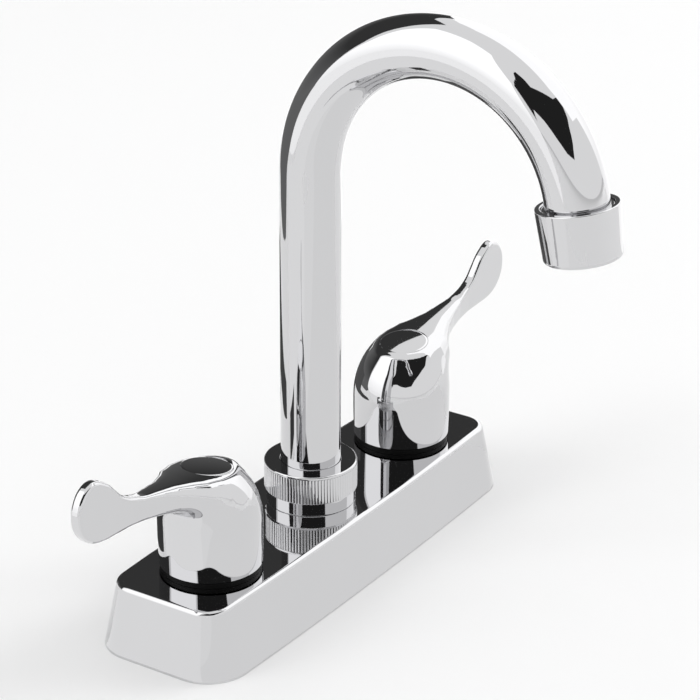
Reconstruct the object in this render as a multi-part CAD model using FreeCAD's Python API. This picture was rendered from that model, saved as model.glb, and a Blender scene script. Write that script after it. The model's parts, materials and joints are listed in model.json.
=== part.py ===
"""Two-handle bathroom sink mixer on a 4 inch centreset base, in millimetres.

The base stands on the deck at z = 0 and is centred on the origin. +X runs to the right along the
base as a user sees it, the spout reaches towards the user, which is -Y, and +Z is up. Every piece is
a solid of its own. A handle's pieces are drawn about the Z axis with the lever towards +X, then
moved to the right-hand valve, or turned by half a turn and moved to the left-hand one.
"""
import FreeCAD, Part
import math
import os

from FreeCAD import Placement, Rotation, Vector

# Layout
valve_spacing = 101.6
running_gap = 0.08
seat_gap = 0.04
cut_over = 1.0

# Base cover: a pressed shell that stands on the deck
cover_height = 20.4
cover_wall = 2.0
cover_foot_half_length = 80.1
cover_foot_half_depth = 22.8
cover_foot_corner = 12.8
cover_top_half_length = 75.8
cover_top_half_depth = 18.2
cover_top_corner = 7.5
cover_bow = 1.55
cover_edge_round = 1.4
cover_hole_gap = 0.25

# Deck plate inside the cover's foot
plate_thickness = 2.9
plate_inset = 0.3

# Waterway body: two valve pockets and a spout hub, joined by one cross tube
body_floor = 5.0
body_thread_wall = 2.1
body_above_cover = 6.6
body_foot_flange = 1.5
body_foot_height = 3.2
cross_tube_radius = 5.6
cross_bore_radius = 3.4
cross_bore_rise = 0.7

# Inlet shanks and their nuts under the deck
shank_radius = 10.45
shank_neck_radius = 10.0
shank_neck_length = 14.0
shank_bore_radius = 5.5
shank_length = 42.0
shank_groove_depth = 0.6
shank_groove_width = 1.5
shank_free_thread = 10.0
shank_spigot_radius = 8.2
shank_spigot_length = 3.4
shank_chamfer = 1.0
deck_thickness = 18.0
washer_radius = 17.0
washer_thickness = 2.0
washer_gap = 0.3
nut_across_flats = 31.0
nut_height = 8.0
nut_wing_reach = 6.0
nut_wing_width = 5.0

# Cartridge: gasket, two ceramic discs, housing, stem and its small parts
gasket_thickness = 2.0
gasket_bore_radius = 4.6
fixed_disc_thickness = 2.9
moving_disc_thickness = 2.7
disc_radius = 7.4
disc_rim = 1.6
disc_port_inner_radius = 2.2
disc_port_half_angle = 38.0
housing_wall = 1.44
housing_relief_depth = 0.7
housing_window_width = 7.0
housing_flange_width = 1.6
housing_flange_thickness = 2.0
housing_neck_wall = 1.9
housing_neck_height = 6.0
stem_radius = 4.5
stem_plate_margin = 0.4
stem_plate_thickness = 1.6
stem_dog_width = 3.0
stem_dog_depth = 1.7
stem_top_above_body = 17.2
spline_depth = 0.5
spline_teeth = 20
spline_gap = 0.4
stem_ring_section = 0.62
stem_ring_drop = 4.0
clip_groove_depth = 0.6
clip_thickness = 0.8
clip_width = 2.2
clip_mouth = 4.0

# Bonnet nut that holds the cartridge and the seat ring
bonnet_wall = 1.3
bonnet_flat_depth = 0.5
bonnet_roof = 1.9

# Seat ring, the black ring under each handle
seat_ring_inset = 0.2
seat_ring_thickness = 1.65
seat_ring_lift = 0.25

# Handle: skirt, dome and fish-tail lever
skirt_wall = 1.7
skirt_clearance = 0.6
skirt_flare = 0.3
skirt_height = 15.6
dome_rise = 13.2
dome_top_radius = 7.4
dome_low_fall = 0.16
dome_low_rise = 0.48
dome_high_fall = 0.48
dome_high_rise = 0.77
dome_roof = 3.7
cavity_step = 0.28
hub_wall = 2.37
hub_roof = 1.8
cap_radius = 7.6
cap_thickness = 1.5
cap_tilt = 7.0
cap_offset = 1.0
cap_rise = 1.1
cap_rim_width = 0.7
cap_rim_depth = 0.25
cap_skirt_radius = 6.2
cap_skirt_wall = 0.9
cap_skirt_depth = 1.3
cap_boss_wall = 0.8

# Lever: widths across it, depths along Z, and places of its sections along it and from the crown
root_sink = 6.8
root_depth = 12.4
root_width = 25.0
shoulder_reach = 8.0
shoulder_sink = 4.6
shoulder_depth = 12.2
shoulder_width = 21.6
flank_reach = 16.0
flank_sink = 1.8
flank_depth = 9.9
flank_width = 14.2
middle_reach = 23.0
middle_sink = 0.2
middle_depth = 8.2
middle_width = 8.4
neck_reach = 31.5
neck_rise = 1.0
neck_depth = 7.2
neck_thickness = 4.8
waist_reach = 37.0
waist_rise = 6.5
paddle_radius = 8.9
paddle_reach = 51.2
paddle_rise = 8.5
paddle_thickness = 3.7
paddle_shoulder = 1.9
paddle_shares = (-0.6, -0.2, 0.3, 0.7, 0.93)
lever_points = 16
full_round = 1.0
soft_round = 0.85
edge_round = 0.65

# Handle screw
screw_radius = 2.0
screw_length = 9.0
screw_head_overhang = 2.3
screw_head_height = 2.0
screw_slot_width = 1.1
screw_slot_length = 5.0
screw_slot_depth = 1.1
screw_recess_gap = 0.4
screw_way_gap = 0.12
screw_end_gap = 1.0

# Spout: gooseneck tube, its end fitting and its bearing
tube_radius = 8.9
tube_wall = 1.2
tube_foot_below_hub = 2.0
riser_above_cover = 103.8
arc_radius = 42.9
arc_angle = 170.3
fitting_spigot = 9.0
fitting_wall = 1.6
tube_ring_section = 0.8
tube_ring_offset = 1.5
tube_ring_pitch = 4.0
tube_ring_groove_width = 2.0
thrust_washer_thickness = 0.7
retainer_thickness = 3.0
retainer_groove_depth = 0.65
retainer_width = 2.0
retainer_split = 1.6
retainer_play = 0.4

# Collar nut with its knurled band
collar_neck_wall = 2.12
collar_band_swell = 0.6
collar_roof = 2.2
collar_rim = 0.9
collar_band = 8.1
collar_thread_gap = 0.1
knurl_count = 60
knurl_depth = 0.4

# Outlet nipple and aerator
nipple_wall = 1.1
nipple_length = 6.0
nipple_drop = 0.5
aerator_wall = 1.6
aerator_taper = 0.9
aerator_length = 15.1
aerator_foot_round = 1.2
aerator_lip = 1.0
aerator_gap = 0.1
aerator_washer_thickness = 2.0
insert_flange_thickness = 1.1
insert_wall = 1.2
insert_floor = 1.6
insert_recess = 0.7
insert_hole_radius = 0.85
insert_hole_pitch = 2.3
insert_hole_rows = 3
screen_thickness = 0.4
screen_margin = 1.1
screen_hole = 0.9
screen_pitch = 1.4

# Radii that follow from the sizes above, from each middle outwards
chamber_radius = disc_radius + running_gap
housing_radius = chamber_radius + housing_wall
pocket_radius = housing_radius + running_gap
valve_thread_radius = pocket_radius + body_thread_wall
bonnet_radius = valve_thread_radius + bonnet_wall
skirt_foot_radius = bonnet_radius + skirt_clearance + skirt_wall
skirt_radius = skirt_foot_radius + skirt_flare
seat_ring_radius = skirt_foot_radius - seat_ring_inset
stem_bore_radius = stem_radius + running_gap
housing_neck_radius = stem_bore_radius + housing_neck_wall
stem_groove_radius = stem_radius - clip_groove_depth
spline_tip_radius = stem_groove_radius - seat_gap
spline_root_radius = spline_tip_radius - spline_depth
hub_radius = spline_tip_radius + running_gap + hub_wall
screw_head_radius = screw_radius + screw_head_overhang
screw_recess_radius = screw_head_radius + screw_recess_gap
tube_bore_radius = tube_radius - tube_wall
hub_bore_radius = tube_radius + running_gap
hub_thread_radius = hub_bore_radius + body_thread_wall
retainer_radius = tube_radius + retainer_width
collar_thread_radius = hub_thread_radius + collar_thread_gap
collar_neck_radius = collar_thread_radius + collar_neck_wall
collar_radius = collar_neck_radius + collar_band_swell
nipple_radius = tube_radius + nipple_wall
aerator_bore_radius = nipple_radius + aerator_gap
aerator_top_radius = aerator_bore_radius + aerator_wall
aerator_foot_radius = aerator_top_radius - aerator_taper

# Levels that follow from the sizes above
body_foot = plate_thickness
pocket_floor = body_foot + body_floor
body_top = cover_height + body_above_cover
cross_axis = pocket_floor + cross_bore_rise + cross_bore_radius
skirt_foot = cover_height + seat_ring_thickness + seat_ring_lift
shoulder = skirt_foot + skirt_height
crown = shoulder + dome_rise
cartridge_foot = pocket_floor + gasket_thickness
fixed_disc_top = cartridge_foot + fixed_disc_thickness
moving_disc_foot = fixed_disc_top + seat_gap
moving_disc_top = moving_disc_foot + moving_disc_thickness
stem_plate_foot = moving_disc_top + seat_gap
stem_plate_top = stem_plate_foot + stem_plate_thickness
housing_roof = stem_plate_top + seat_gap
housing_neck_top = body_top + housing_flange_thickness + housing_neck_height
clip_foot = housing_neck_top + seat_gap
clip_top = clip_foot + clip_thickness
stem_top = body_top + stem_top_above_body
spline_foot = clip_top + spline_gap
hub_foot = spline_foot + seat_gap
hub_seat = stem_top + seat_gap
screw_seat = hub_seat + hub_roof
collar_roof_foot = (body_top + thrust_washer_thickness + retainer_thickness
                    + retainer_play + 2 * seat_gap)
collar_top = collar_roof_foot + collar_roof
band_top = collar_top - collar_rim
band_foot = band_top - collar_band
riser_top = cover_height + riser_above_cover
tube_foot = body_top - tube_foot_below_hub
fitting_foot = cross_axis + cross_bore_radius + seat_gap
retainer_foot = body_top + thrust_washer_thickness + 2 * seat_gap


def pillar(radius, foot, top):
    """A solid cylinder on the Z axis."""
    return Part.makeCylinder(radius, top - foot, Vector(0, 0, foot))


def ring(outer, inner, foot, top):
    """A plain ring on the Z axis."""
    return pillar(outer, foot, top).cut(pillar(inner, foot - cut_over, top + cut_over))


def turned(corners):
    """A solid turned about the Z axis from (radius, height) corners."""
    points = [Vector(radius, 0, height) for radius, height in corners]
    face = Part.Face(Part.makePolygon(points + points[:1]))
    return face.revolve(Vector(0, 0, 0), Vector(0, 0, 1), 360)


def block(low, high):
    """A box between two opposite corners."""
    low, high = Vector(*low), Vector(*high)
    size = high - low
    return Part.makeBox(size.x, size.y, size.z, low)


def prism(points, foot, top):
    """A straight prism over a closed outline of (x, y) points."""
    corners = [Vector(x, y, foot) for x, y in points]
    return Part.Face(Part.makePolygon(corners + corners[:1])).extrude(Vector(0, 0, top - foot))


def around(count, radii):
    """Outline points at evenly spaced angles, whose radii repeat the given pattern."""
    total = count * len(radii)
    points = []
    for step in range(total):
        angle = 2 * math.pi * step / total
        radius = radii[step % len(radii)]
        points.append((radius * math.cos(angle), radius * math.sin(angle)))
    return points


def hexagon(across_flats):
    """The corners of a hexagon of the given width."""
    return around(6, [across_flats / math.sqrt(3)])


def torus(centre_radius, section_radius, height):
    """A round seal about the Z axis."""
    return Part.makeTorus(centre_radius, section_radius, Vector(0, 0, height))


def base_outline(half_length, half_depth, corner, bow, height):
    """The base's outline at one level: bowed long sides, straight ends and round corners."""
    ease = bow * (1 - ((half_length - corner) / half_length) ** 2)
    side_x, side_y = half_length - corner, half_depth + ease
    end_y = side_y - corner
    turn = corner * math.sqrt(0.5)

    def at(x, y):
        return Vector(x, y, height)

    edges = []
    for sign in (1, -1):
        edges.append(Part.Arc(at(-sign * side_x, -sign * side_y),
                              at(0, -sign * (half_depth + bow)),
                              at(sign * side_x, -sign * side_y)).toShape())
        edges.append(Part.Arc(at(sign * side_x, -sign * side_y),
                              at(sign * (side_x + turn), -sign * (end_y + turn)),
                              at(sign * half_length, -sign * end_y)).toShape())
        edges.append(Part.makeLine(at(sign * half_length, -sign * end_y),
                                   at(sign * half_length, sign * end_y)))
        edges.append(Part.Arc(at(sign * half_length, sign * end_y),
                              at(sign * (side_x + turn), sign * (end_y + turn)),
                              at(sign * side_x, sign * side_y)).toShape())
    return Part.Wire(Part.__sortEdges__(edges))


def base_block(inset, foot, top):
    """The base's tapering form between two levels, drawn in by a wall's thickness."""

    def level(height):
        share = height / cover_height
        length = cover_foot_half_length + share * (cover_top_half_length - cover_foot_half_length)
        depth = cover_foot_half_depth + share * (cover_top_half_depth - cover_foot_half_depth)
        corner = cover_foot_corner + share * (cover_top_corner - cover_foot_corner)
        return base_outline(length - inset, depth - inset, corner - inset, cover_bow, height)

    return Part.makeLoft([level(foot), level(top)], True, True)


def at_valves(shape):
    """The same cut or boss at both valves."""
    right = shape.copy()
    right.translate(Vector(valve_spacing / 2, 0, 0))
    left = shape.copy()
    left.translate(Vector(-valve_spacing / 2, 0, 0))
    return [left, right]


def base_cover():
    """The chromed cover, open below, with a hole for each valve and for the spout hub."""
    outer = base_block(0, 0, cover_height)
    top_edges = [edge for edge in outer.Edges
                 if all(abs(vertex.Z - cover_height) < 1e-6 for vertex in edge.Vertexes)]
    outer = outer.makeFillet(cover_edge_round, top_edges)
    shell = outer.cut(base_block(cover_wall, -cut_over, cover_height - cover_wall))
    hub_hole = pillar(hub_thread_radius + cover_hole_gap, 0, cover_height + cut_over)
    valve_hole = pillar(valve_thread_radius + cover_hole_gap, 0, cover_height + cut_over)
    return shell.cut([hub_hole] + at_valves(valve_hole))


def deck_plate():
    """The black plate that fills the cover's foot and seals it to the deck."""
    plate = base_block(cover_wall + plate_inset, 0, plate_thickness)
    return plate.cut(at_valves(pillar(shank_radius + plate_inset, -cut_over, plate_thickness + cut_over)))


def waterway_body():
    """The brass body: valve pockets and spout hub on one cross tube."""

    def post(radius):
        flange = pillar(radius + body_foot_flange, body_foot, body_foot + body_foot_height)
        return pillar(radius, body_foot, body_top).fuse(flange)

    bar = Part.makeCylinder(cross_tube_radius, valve_spacing,
                            Vector(-valve_spacing / 2, 0, cross_axis), Vector(1, 0, 0))
    body = bar.fuse([post(hub_thread_radius)] + at_valves(post(valve_thread_radius)))
    bore = Part.makeCylinder(cross_bore_radius, valve_spacing,
                             Vector(-valve_spacing / 2, 0, cross_axis), Vector(1, 0, 0))
    hub = pillar(hub_bore_radius, pocket_floor, body_top + cut_over)
    pocket = pillar(pocket_radius, pocket_floor, body_top + cut_over)
    socket = pillar(shank_spigot_radius + seat_gap, body_foot - cut_over,
                    body_foot + shank_spigot_length + seat_gap)
    inlet = pillar(shank_bore_radius, body_foot - cut_over, pocket_floor + cut_over)
    body = body.cut([bore, hub] + at_valves(pocket) + at_valves(socket) + at_valves(inlet))
    return body.removeSplitter()


def inlet_shank():
    """The threaded inlet that passes through the deck, with its spigot in the body."""
    end = -shank_length
    groove_foot = end + shank_chamfer + shank_free_thread
    groove_radius = shank_radius - shank_groove_depth
    outer = turned([(0, end), (shank_radius - shank_chamfer, end),
                    (shank_radius, end + shank_chamfer), (shank_radius, groove_foot),
                    (groove_radius, groove_foot), (groove_radius, groove_foot + shank_groove_width),
                    (shank_radius, groove_foot + shank_groove_width),
                    (shank_radius, -shank_neck_length), (shank_neck_radius, -shank_neck_length),
                    (shank_neck_radius, 0), (shank_radius, 0), (shank_radius, body_foot),
                    (shank_spigot_radius, body_foot),
                    (shank_spigot_radius, body_foot + shank_spigot_length),
                    (0, body_foot + shank_spigot_length)])
    return outer.cut(pillar(shank_bore_radius, end - cut_over, body_foot + shank_spigot_length + cut_over))


def mounting_washer():
    """The steel washer under the deck."""
    return ring(washer_radius, shank_radius + washer_gap,
                -deck_thickness - washer_thickness, -deck_thickness)


def mounting_nut():
    """The hexagon nut with two wings that pulls the mixer down on the deck."""
    top = -deck_thickness - washer_thickness
    foot = top - nut_height
    body = prism(hexagon(nut_across_flats), foot, top)
    half = nut_across_flats / 2 + nut_wing_reach
    wings = block((-nut_wing_width / 2, -half, foot), (nut_wing_width / 2, half, top))
    body = body.fuse(wings).cut(pillar(shank_radius + running_gap, foot - cut_over, top + cut_over))
    return body.removeSplitter()


def seat_gasket():
    """The rubber gasket between the pocket floor and the fixed disc."""
    return ring(pocket_radius - running_gap, gasket_bore_radius, pocket_floor, cartridge_foot)


def disc_ports(foot, top):
    """The two opposite fan-shaped ports of a ceramic disc."""
    inner, outer = disc_port_inner_radius, disc_radius - disc_rim
    half = math.radians(disc_port_half_angle)
    ports = []
    for middle in (0, math.pi):
        def at(radius, angle):
            return Vector(radius * math.cos(middle + angle), radius * math.sin(middle + angle), foot)
        outline = Part.Wire([
            Part.Arc(at(outer, -half), at(outer, 0), at(outer, half)).toShape(),
            Part.makeLine(at(outer, half), at(inner, half)),
            Part.Arc(at(inner, half), at(inner, 0), at(inner, -half)).toShape(),
            Part.makeLine(at(inner, -half), at(outer, -half))])
        ports.append(Part.Face(outline).extrude(Vector(0, 0, top - foot)))
    return ports


def fixed_disc():
    """The lower ceramic disc, held by two lugs in the housing's foot."""
    disc = pillar(disc_radius, cartridge_foot, fixed_disc_top)
    return disc.cut(disc_ports(cartridge_foot - cut_over, fixed_disc_top + cut_over))


def moving_disc():
    """The upper ceramic disc, which shuts the ports of the lower one, with a slot for the stem."""
    disc = pillar(disc_radius, moving_disc_foot, moving_disc_top)
    ports = disc_ports(moving_disc_foot - cut_over, moving_disc_top - stem_dog_depth)
    for port in ports:
        port.rotate(Vector(0, 0, 0), Vector(0, 0, 1), 90)
    slot_half = stem_dog_width / 2 + running_gap
    slot = block((-disc_radius - cut_over, -slot_half, moving_disc_top - stem_dog_depth - seat_gap),
                 (disc_radius + cut_over, slot_half, moving_disc_top + cut_over))
    return disc.cut(ports + [slot])


def cartridge_housing():
    """The cartridge's brass housing: disc chamber, outlet windows, flange and stem neck."""
    relief = housing_radius - housing_relief_depth
    flange_radius = housing_radius + housing_flange_width
    relief_foot = cartridge_foot + fixed_disc_thickness / 2
    relief_top = max(stem_plate_top, cross_axis + cross_bore_radius)
    flange_top = body_top + housing_flange_thickness
    outer = turned([(0, cartridge_foot), (housing_radius, cartridge_foot),
                    (housing_radius, relief_foot), (relief, relief_foot),
                    (relief, relief_top), (housing_radius, relief_top),
                    (housing_radius, body_top), (flange_radius, body_top),
                    (flange_radius, flange_top), (housing_neck_radius, flange_top),
                    (housing_neck_radius, housing_neck_top), (0, housing_neck_top)])
    chamber = pillar(chamber_radius, cartridge_foot - cut_over, housing_roof)
    bore = pillar(stem_bore_radius, cartridge_foot - cut_over, housing_neck_top + cut_over)
    half = housing_window_width / 2
    window = block((-half, -housing_radius - cut_over, moving_disc_foot),
                   (half, housing_radius + cut_over, stem_plate_foot))
    return outer.cut([chamber, bore, window])


def valve_stem():
    """The stem: drive dog, plate, seal groove, clip groove and splined head."""
    dog_foot = moving_disc_top - stem_dog_depth
    plate_radius = disc_radius - stem_plate_margin
    seal_level = housing_neck_top - stem_ring_drop
    seal_half = stem_ring_section + running_gap
    seal_radius = stem_radius - 2 * stem_ring_section
    stem = turned([(0, stem_plate_foot), (plate_radius, stem_plate_foot),
                   (plate_radius, stem_plate_top), (stem_radius, stem_plate_top),
                   (stem_radius, seal_level - seal_half), (seal_radius, seal_level - seal_half),
                   (seal_radius, seal_level + seal_half), (stem_radius, seal_level + seal_half),
                   (stem_radius, clip_foot), (stem_groove_radius, clip_foot),
                   (stem_groove_radius, spline_foot), (0, spline_foot)])
    dog = block((-plate_radius, -stem_dog_width / 2, dog_foot),
                (plate_radius, stem_dog_width / 2, stem_plate_foot))
    dog = dog.common(pillar(plate_radius, dog_foot, stem_plate_foot))
    spline = prism(around(spline_teeth, [spline_tip_radius, spline_root_radius]),
                   spline_foot, stem_top)
    stem = stem.fuse([dog, spline])
    return stem.cut(pillar(screw_radius + seat_gap, stem_top - screw_length, stem_top + cut_over))


def stem_seal():
    """The round seal in the stem's groove."""
    return torus(stem_radius - stem_ring_section + seat_gap, stem_ring_section - seat_gap / 2,
                 housing_neck_top - stem_ring_drop)


def stem_clip():
    """The spring clip that keeps the stem in the housing."""
    clip_radius = stem_groove_radius + clip_width
    clip = ring(clip_radius, stem_groove_radius + seat_gap, clip_foot, clip_top)
    mouth = block((0, -clip_mouth / 2, clip_foot - cut_over),
                  (clip_radius + cut_over, clip_mouth / 2, clip_top + cut_over))
    return clip.cut(mouth)


def bonnet_nut():
    """The nut that holds the cartridge down and presses the seat ring on the cover."""
    foot = cover_height + seat_ring_thickness
    roof = body_top + housing_flange_thickness + seat_gap
    nut = pillar(bonnet_radius, foot, roof + bonnet_roof)
    across_flats = 2 * (bonnet_radius - bonnet_flat_depth)
    nut = nut.common(prism(hexagon(across_flats), foot, roof + bonnet_roof))
    nut = nut.cut(pillar(valve_thread_radius + seat_gap, foot - cut_over, roof))
    return nut.cut(pillar(housing_neck_radius + running_gap, foot, roof + bonnet_roof + cut_over))


def seat_ring():
    """The black ring between the cover and the handle's skirt."""
    return ring(seat_ring_radius, valve_thread_radius + cover_hole_gap,
                cover_height, cover_height + seat_ring_thickness)


def cap_frame(shape):
    """Move a shape from the cap's own level to its tilted place on the handle."""
    shape.Placement = Placement(Vector(cap_offset, 0, crown + cap_rise),
                                Rotation(Vector(0, 1, 0), -cap_tilt))
    return shape


def lever_section(reach, foot, top, thickness, roundness):
    """One closed, rounded section of the lever across its length."""
    half_height, half_width = (top - foot) / 2, thickness / 2
    middle = (top + foot) / 2
    points = []
    for step in range(lever_points):
        angle = 2 * math.pi * (step + 0.5) / lever_points
        across, up = math.cos(angle), math.sin(angle)
        across = math.copysign(abs(across) ** roundness, across)
        up = math.copysign(abs(up) ** roundness, up)
        points.append(Vector(reach, half_width * across, middle + half_height * up))
    curve = Part.BSplineCurve()
    curve.interpolate(points, PeriodicFlag=True)
    return Part.Wire([curve.toShape()])


def lever():
    """The fish-tail lever, lofted from inside the dome through its neck to the round paddle."""
    paddle = crown + paddle_rise
    neck_foot = crown + neck_rise - neck_depth / 2
    sections = []

    def add(reach, foot, top, width, roundness):
        sections.append(lever_section(reach, foot, top, width, roundness))

    def underside(reach):
        share = (reach - neck_reach) / (paddle_reach - neck_reach)
        return neck_foot + share * (paddle - paddle_radius - neck_foot)

    for reach, rise, depth, width, roundness in (
            (0.0, -root_sink, root_depth, root_width, full_round),
            (shoulder_reach, -shoulder_sink, shoulder_depth, shoulder_width, full_round),
            (flank_reach, -flank_sink, flank_depth, flank_width, soft_round),
            (middle_reach, -middle_sink, middle_depth, middle_width, soft_round),
            (neck_reach, neck_rise, neck_depth, neck_thickness, soft_round)):
        middle = crown + rise
        add(reach, middle - depth / 2, middle + depth / 2, width, roundness)
    add(waist_reach, underside(waist_reach), crown + waist_rise, paddle_thickness, edge_round)
    near = paddle_reach - paddle_radius
    add(near, underside(near), paddle + paddle_shoulder, paddle_thickness, edge_round)
    for share in paddle_shares:
        reach = paddle_reach + paddle_radius * share
        half = paddle_radius * math.sqrt(1 - share * share)
        foot = underside(reach) if share < 0 else paddle - half
        add(reach, foot, paddle + half, paddle_thickness, edge_round)
    return Part.makeLoft(sections, True, False)


def dome():
    """The handle's skirt and dome, turned about the valve's axis."""
    foot = Part.makeLine(Vector(0, 0, skirt_foot), Vector(skirt_foot_radius, 0, skirt_foot))
    side = Part.makeLine(Vector(skirt_foot_radius, 0, skirt_foot), Vector(skirt_radius, 0, shoulder))
    curve = Part.BSplineCurve()
    fall = skirt_radius - dome_top_radius
    curve.interpolate([Vector(skirt_radius, 0, shoulder),
                       Vector(skirt_radius - fall * dome_low_fall, 0, shoulder + dome_rise * dome_low_rise),
                       Vector(skirt_radius - fall * dome_high_fall, 0,
                              shoulder + dome_rise * dome_high_rise),
                       Vector(dome_top_radius, 0, crown)])
    top = Part.makeLine(Vector(dome_top_radius, 0, crown), Vector(0, 0, crown))
    axis = Part.makeLine(Vector(0, 0, crown), Vector(0, 0, skirt_foot))
    face = Part.Face(Part.Wire([foot, side, curve.toShape(), top, axis]))
    return face.revolve(Vector(0, 0, 0), Vector(0, 0, 1), 360)


def handle():
    """The lever handle: hollow skirt, dome, splined hub, cap seat and lever in one casting."""
    inner = skirt_radius - skirt_wall
    roof = crown - dome_roof
    boss = cap_frame(pillar(cap_radius + cap_boss_wall, -cap_thickness - cap_skirt_depth, -seat_gap))
    body = dome().fuse([boss, lever()])
    cavity = turned([(0, skirt_foot - cut_over), (skirt_foot_radius - skirt_wall, skirt_foot - cut_over),
                     (skirt_foot_radius - skirt_wall, skirt_foot),
                     (inner, shoulder - skirt_wall),
                     (inner - skirt_wall, shoulder + dome_rise * cavity_step),
                     (hub_radius + skirt_wall, roof - skirt_wall), (hub_radius, roof - skirt_wall),
                     (hub_radius, hub_foot), (0, hub_foot)])
    spline = prism(around(spline_teeth, [spline_tip_radius + running_gap,
                                         spline_root_radius + running_gap]),
                   hub_foot - cut_over, hub_seat)
    screw_way = pillar(screw_radius + screw_way_gap, hub_seat - cut_over, screw_seat + cut_over)
    recess = pillar(screw_recess_radius, screw_seat, crown + cap_rise)
    cap_seat = cap_frame(pillar(cap_radius + seat_gap, -cap_thickness, cap_boss_wall + cap_radius))
    skirt_seat = cap_frame(pillar(cap_skirt_radius + seat_gap,
                                  -cap_thickness - cap_skirt_depth - seat_gap, 0))
    body = body.cut([cavity, spline, screw_way, recess, cap_seat, skirt_seat])
    return body


def index_cap():
    """The plain snap-in cap with its thin raised rim."""
    cap = pillar(cap_radius, -cap_thickness, 0)
    cap = cap.cut(pillar(cap_radius - cap_rim_width, -cap_rim_depth, cut_over))
    cap = cap.fuse(ring(cap_skirt_radius, cap_skirt_radius - cap_skirt_wall,
                        -cap_thickness - cap_skirt_depth, -cap_thickness / 2))
    return cap_frame(cap.removeSplitter())


def handle_screw():
    """The screw that holds the handle on the stem, with a cross recess."""
    head_top = screw_seat + screw_head_height
    screw = pillar(screw_head_radius, screw_seat, head_top)
    screw = screw.fuse(pillar(screw_radius, screw_seat - hub_roof - screw_length + screw_end_gap, screw_seat))
    half, arm = screw_slot_width / 2, screw_slot_length / 2
    slots = [block((-arm, -half, head_top - screw_slot_depth), (arm, half, head_top + cut_over)),
             block((-half, -arm, head_top - screw_slot_depth), (half, arm, head_top + cut_over))]
    return screw.cut(slots)


def arc_point(angle):
    """A point on the gooseneck's centre line, by its angle round the bend."""
    turn = math.radians(angle)
    return Vector(0, arc_radius * (math.cos(turn) - 1), riser_top + arc_radius * math.sin(turn))


def bent_bar(radius, foot):
    """A round bar along the spout: riser, bend and the short straight run in the outlet."""
    disc = Part.Face(Part.Wire([Part.makeCircle(radius, Vector(0, 0, foot))]))
    riser = disc.extrude(Vector(0, 0, riser_top - foot))
    top = Part.Face(Part.Wire([Part.makeCircle(radius, Vector(0, 0, riser_top))]))
    bend = top.revolve(Vector(0, -arc_radius, riser_top), Vector(1, 0, 0), arc_angle)
    outlet = outlet_frame(pillar(radius, -nipple_drop - nipple_length, 0))
    return riser.fuse([bend, outlet])


def outlet_frame(shape):
    """Move a shape from the Z axis to the spout's outlet, where local -Z is the water's way."""
    shape.Placement = Placement(arc_point(arc_angle), Rotation(Vector(1, 0, 0), arc_angle - 180))
    return shape


def spout_tube():
    """The gooseneck tube with a groove for its retaining ring."""
    tube = bent_bar(tube_radius, tube_foot).cut(bent_bar(tube_bore_radius, tube_foot - cut_over))
    end = outlet_frame(pillar(tube_bore_radius, -nipple_drop - nipple_length - cut_over, -nipple_length))
    groove = ring(tube_radius + cut_over, tube_radius - retainer_groove_depth,
                  retainer_foot, retainer_foot + retainer_thickness)
    return tube.cut([end, groove]).removeSplitter()


def seal_levels():
    """The heights of the two seal grooves on the spout's end fitting."""
    first = fitting_foot + tube_ring_offset + tube_ring_groove_width / 2
    return [first, first + tube_ring_pitch]


def spout_fitting():
    """The turned end fitting: seal grooves below, and a spigot brazed into the tube."""
    seal_root = tube_radius - 2 * tube_ring_section
    fitting = turned([(0, fitting_foot), (tube_radius, fitting_foot), (tube_radius, tube_foot),
                      (tube_bore_radius - seat_gap, tube_foot),
                      (tube_bore_radius - seat_gap, tube_foot + fitting_spigot),
                      (0, tube_foot + fitting_spigot)])
    grooves = [ring(tube_radius + cut_over, seal_root, level - tube_ring_groove_width / 2,
                    level + tube_ring_groove_width / 2) for level in seal_levels()]
    bore = pillar(seal_root - fitting_wall, fitting_foot - cut_over, tube_foot + fitting_spigot + cut_over)
    return fitting.cut(grooves + [bore])


def spout_seals():
    """The two round seals between the end fitting and the hub."""
    centre = tube_radius - tube_ring_section + seat_gap
    return Part.makeCompound([torus(centre, tube_ring_section - seat_gap / 2, level)
                              for level in seal_levels()])


def thrust_washer():
    """The slip washer on top of the hub."""
    return ring(retainer_radius, tube_radius + running_gap, body_top, body_top + thrust_washer_thickness)


def retaining_ring():
    """The split ring that sits in the tube's groove and keeps the spout in the hub."""
    foot, top = retainer_foot, retainer_foot + retainer_thickness
    split = block((-retainer_split / 2, 0, foot - cut_over),
                  (retainer_split / 2, retainer_radius + cut_over, top + cut_over))
    body = ring(retainer_radius, tube_radius - retainer_groove_depth + seat_gap, foot + seat_gap / 2,
                top - seat_gap / 2)
    return body.cut(split)


def collar_nut():
    """The collar nut: smooth neck, knurled band, plain rim and a roof that holds the ring."""
    foot = cover_height + seat_gap
    neck = pillar(collar_neck_radius, foot, band_foot)
    band = prism(around(knurl_count, [collar_radius, collar_radius - knurl_depth]),
                 band_foot, band_top)
    rim = pillar(collar_radius, band_top, collar_top)
    nut = neck.fuse([band, rim])
    thread = pillar(collar_thread_radius, foot - cut_over, collar_roof_foot)
    bore = pillar(tube_radius + running_gap, foot, collar_top + cut_over)
    return nut.cut([thread, bore]).removeSplitter()


def outlet_nipple():
    """The threaded ring brazed round the end of the tube."""
    nipple = ring(nipple_radius, tube_radius + seat_gap, -nipple_drop - nipple_length, -nipple_drop)
    return outlet_frame(nipple)


def aerator_levels():
    """Heights in the outlet's frame: washer top, insert top, ledge and the housing's foot."""
    washer_top = -nipple_drop - nipple_length - seat_gap
    insert_top = washer_top - aerator_washer_thickness - seat_gap
    ledge = insert_top - insert_flange_thickness
    return washer_top, insert_top, ledge, -aerator_length


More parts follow.
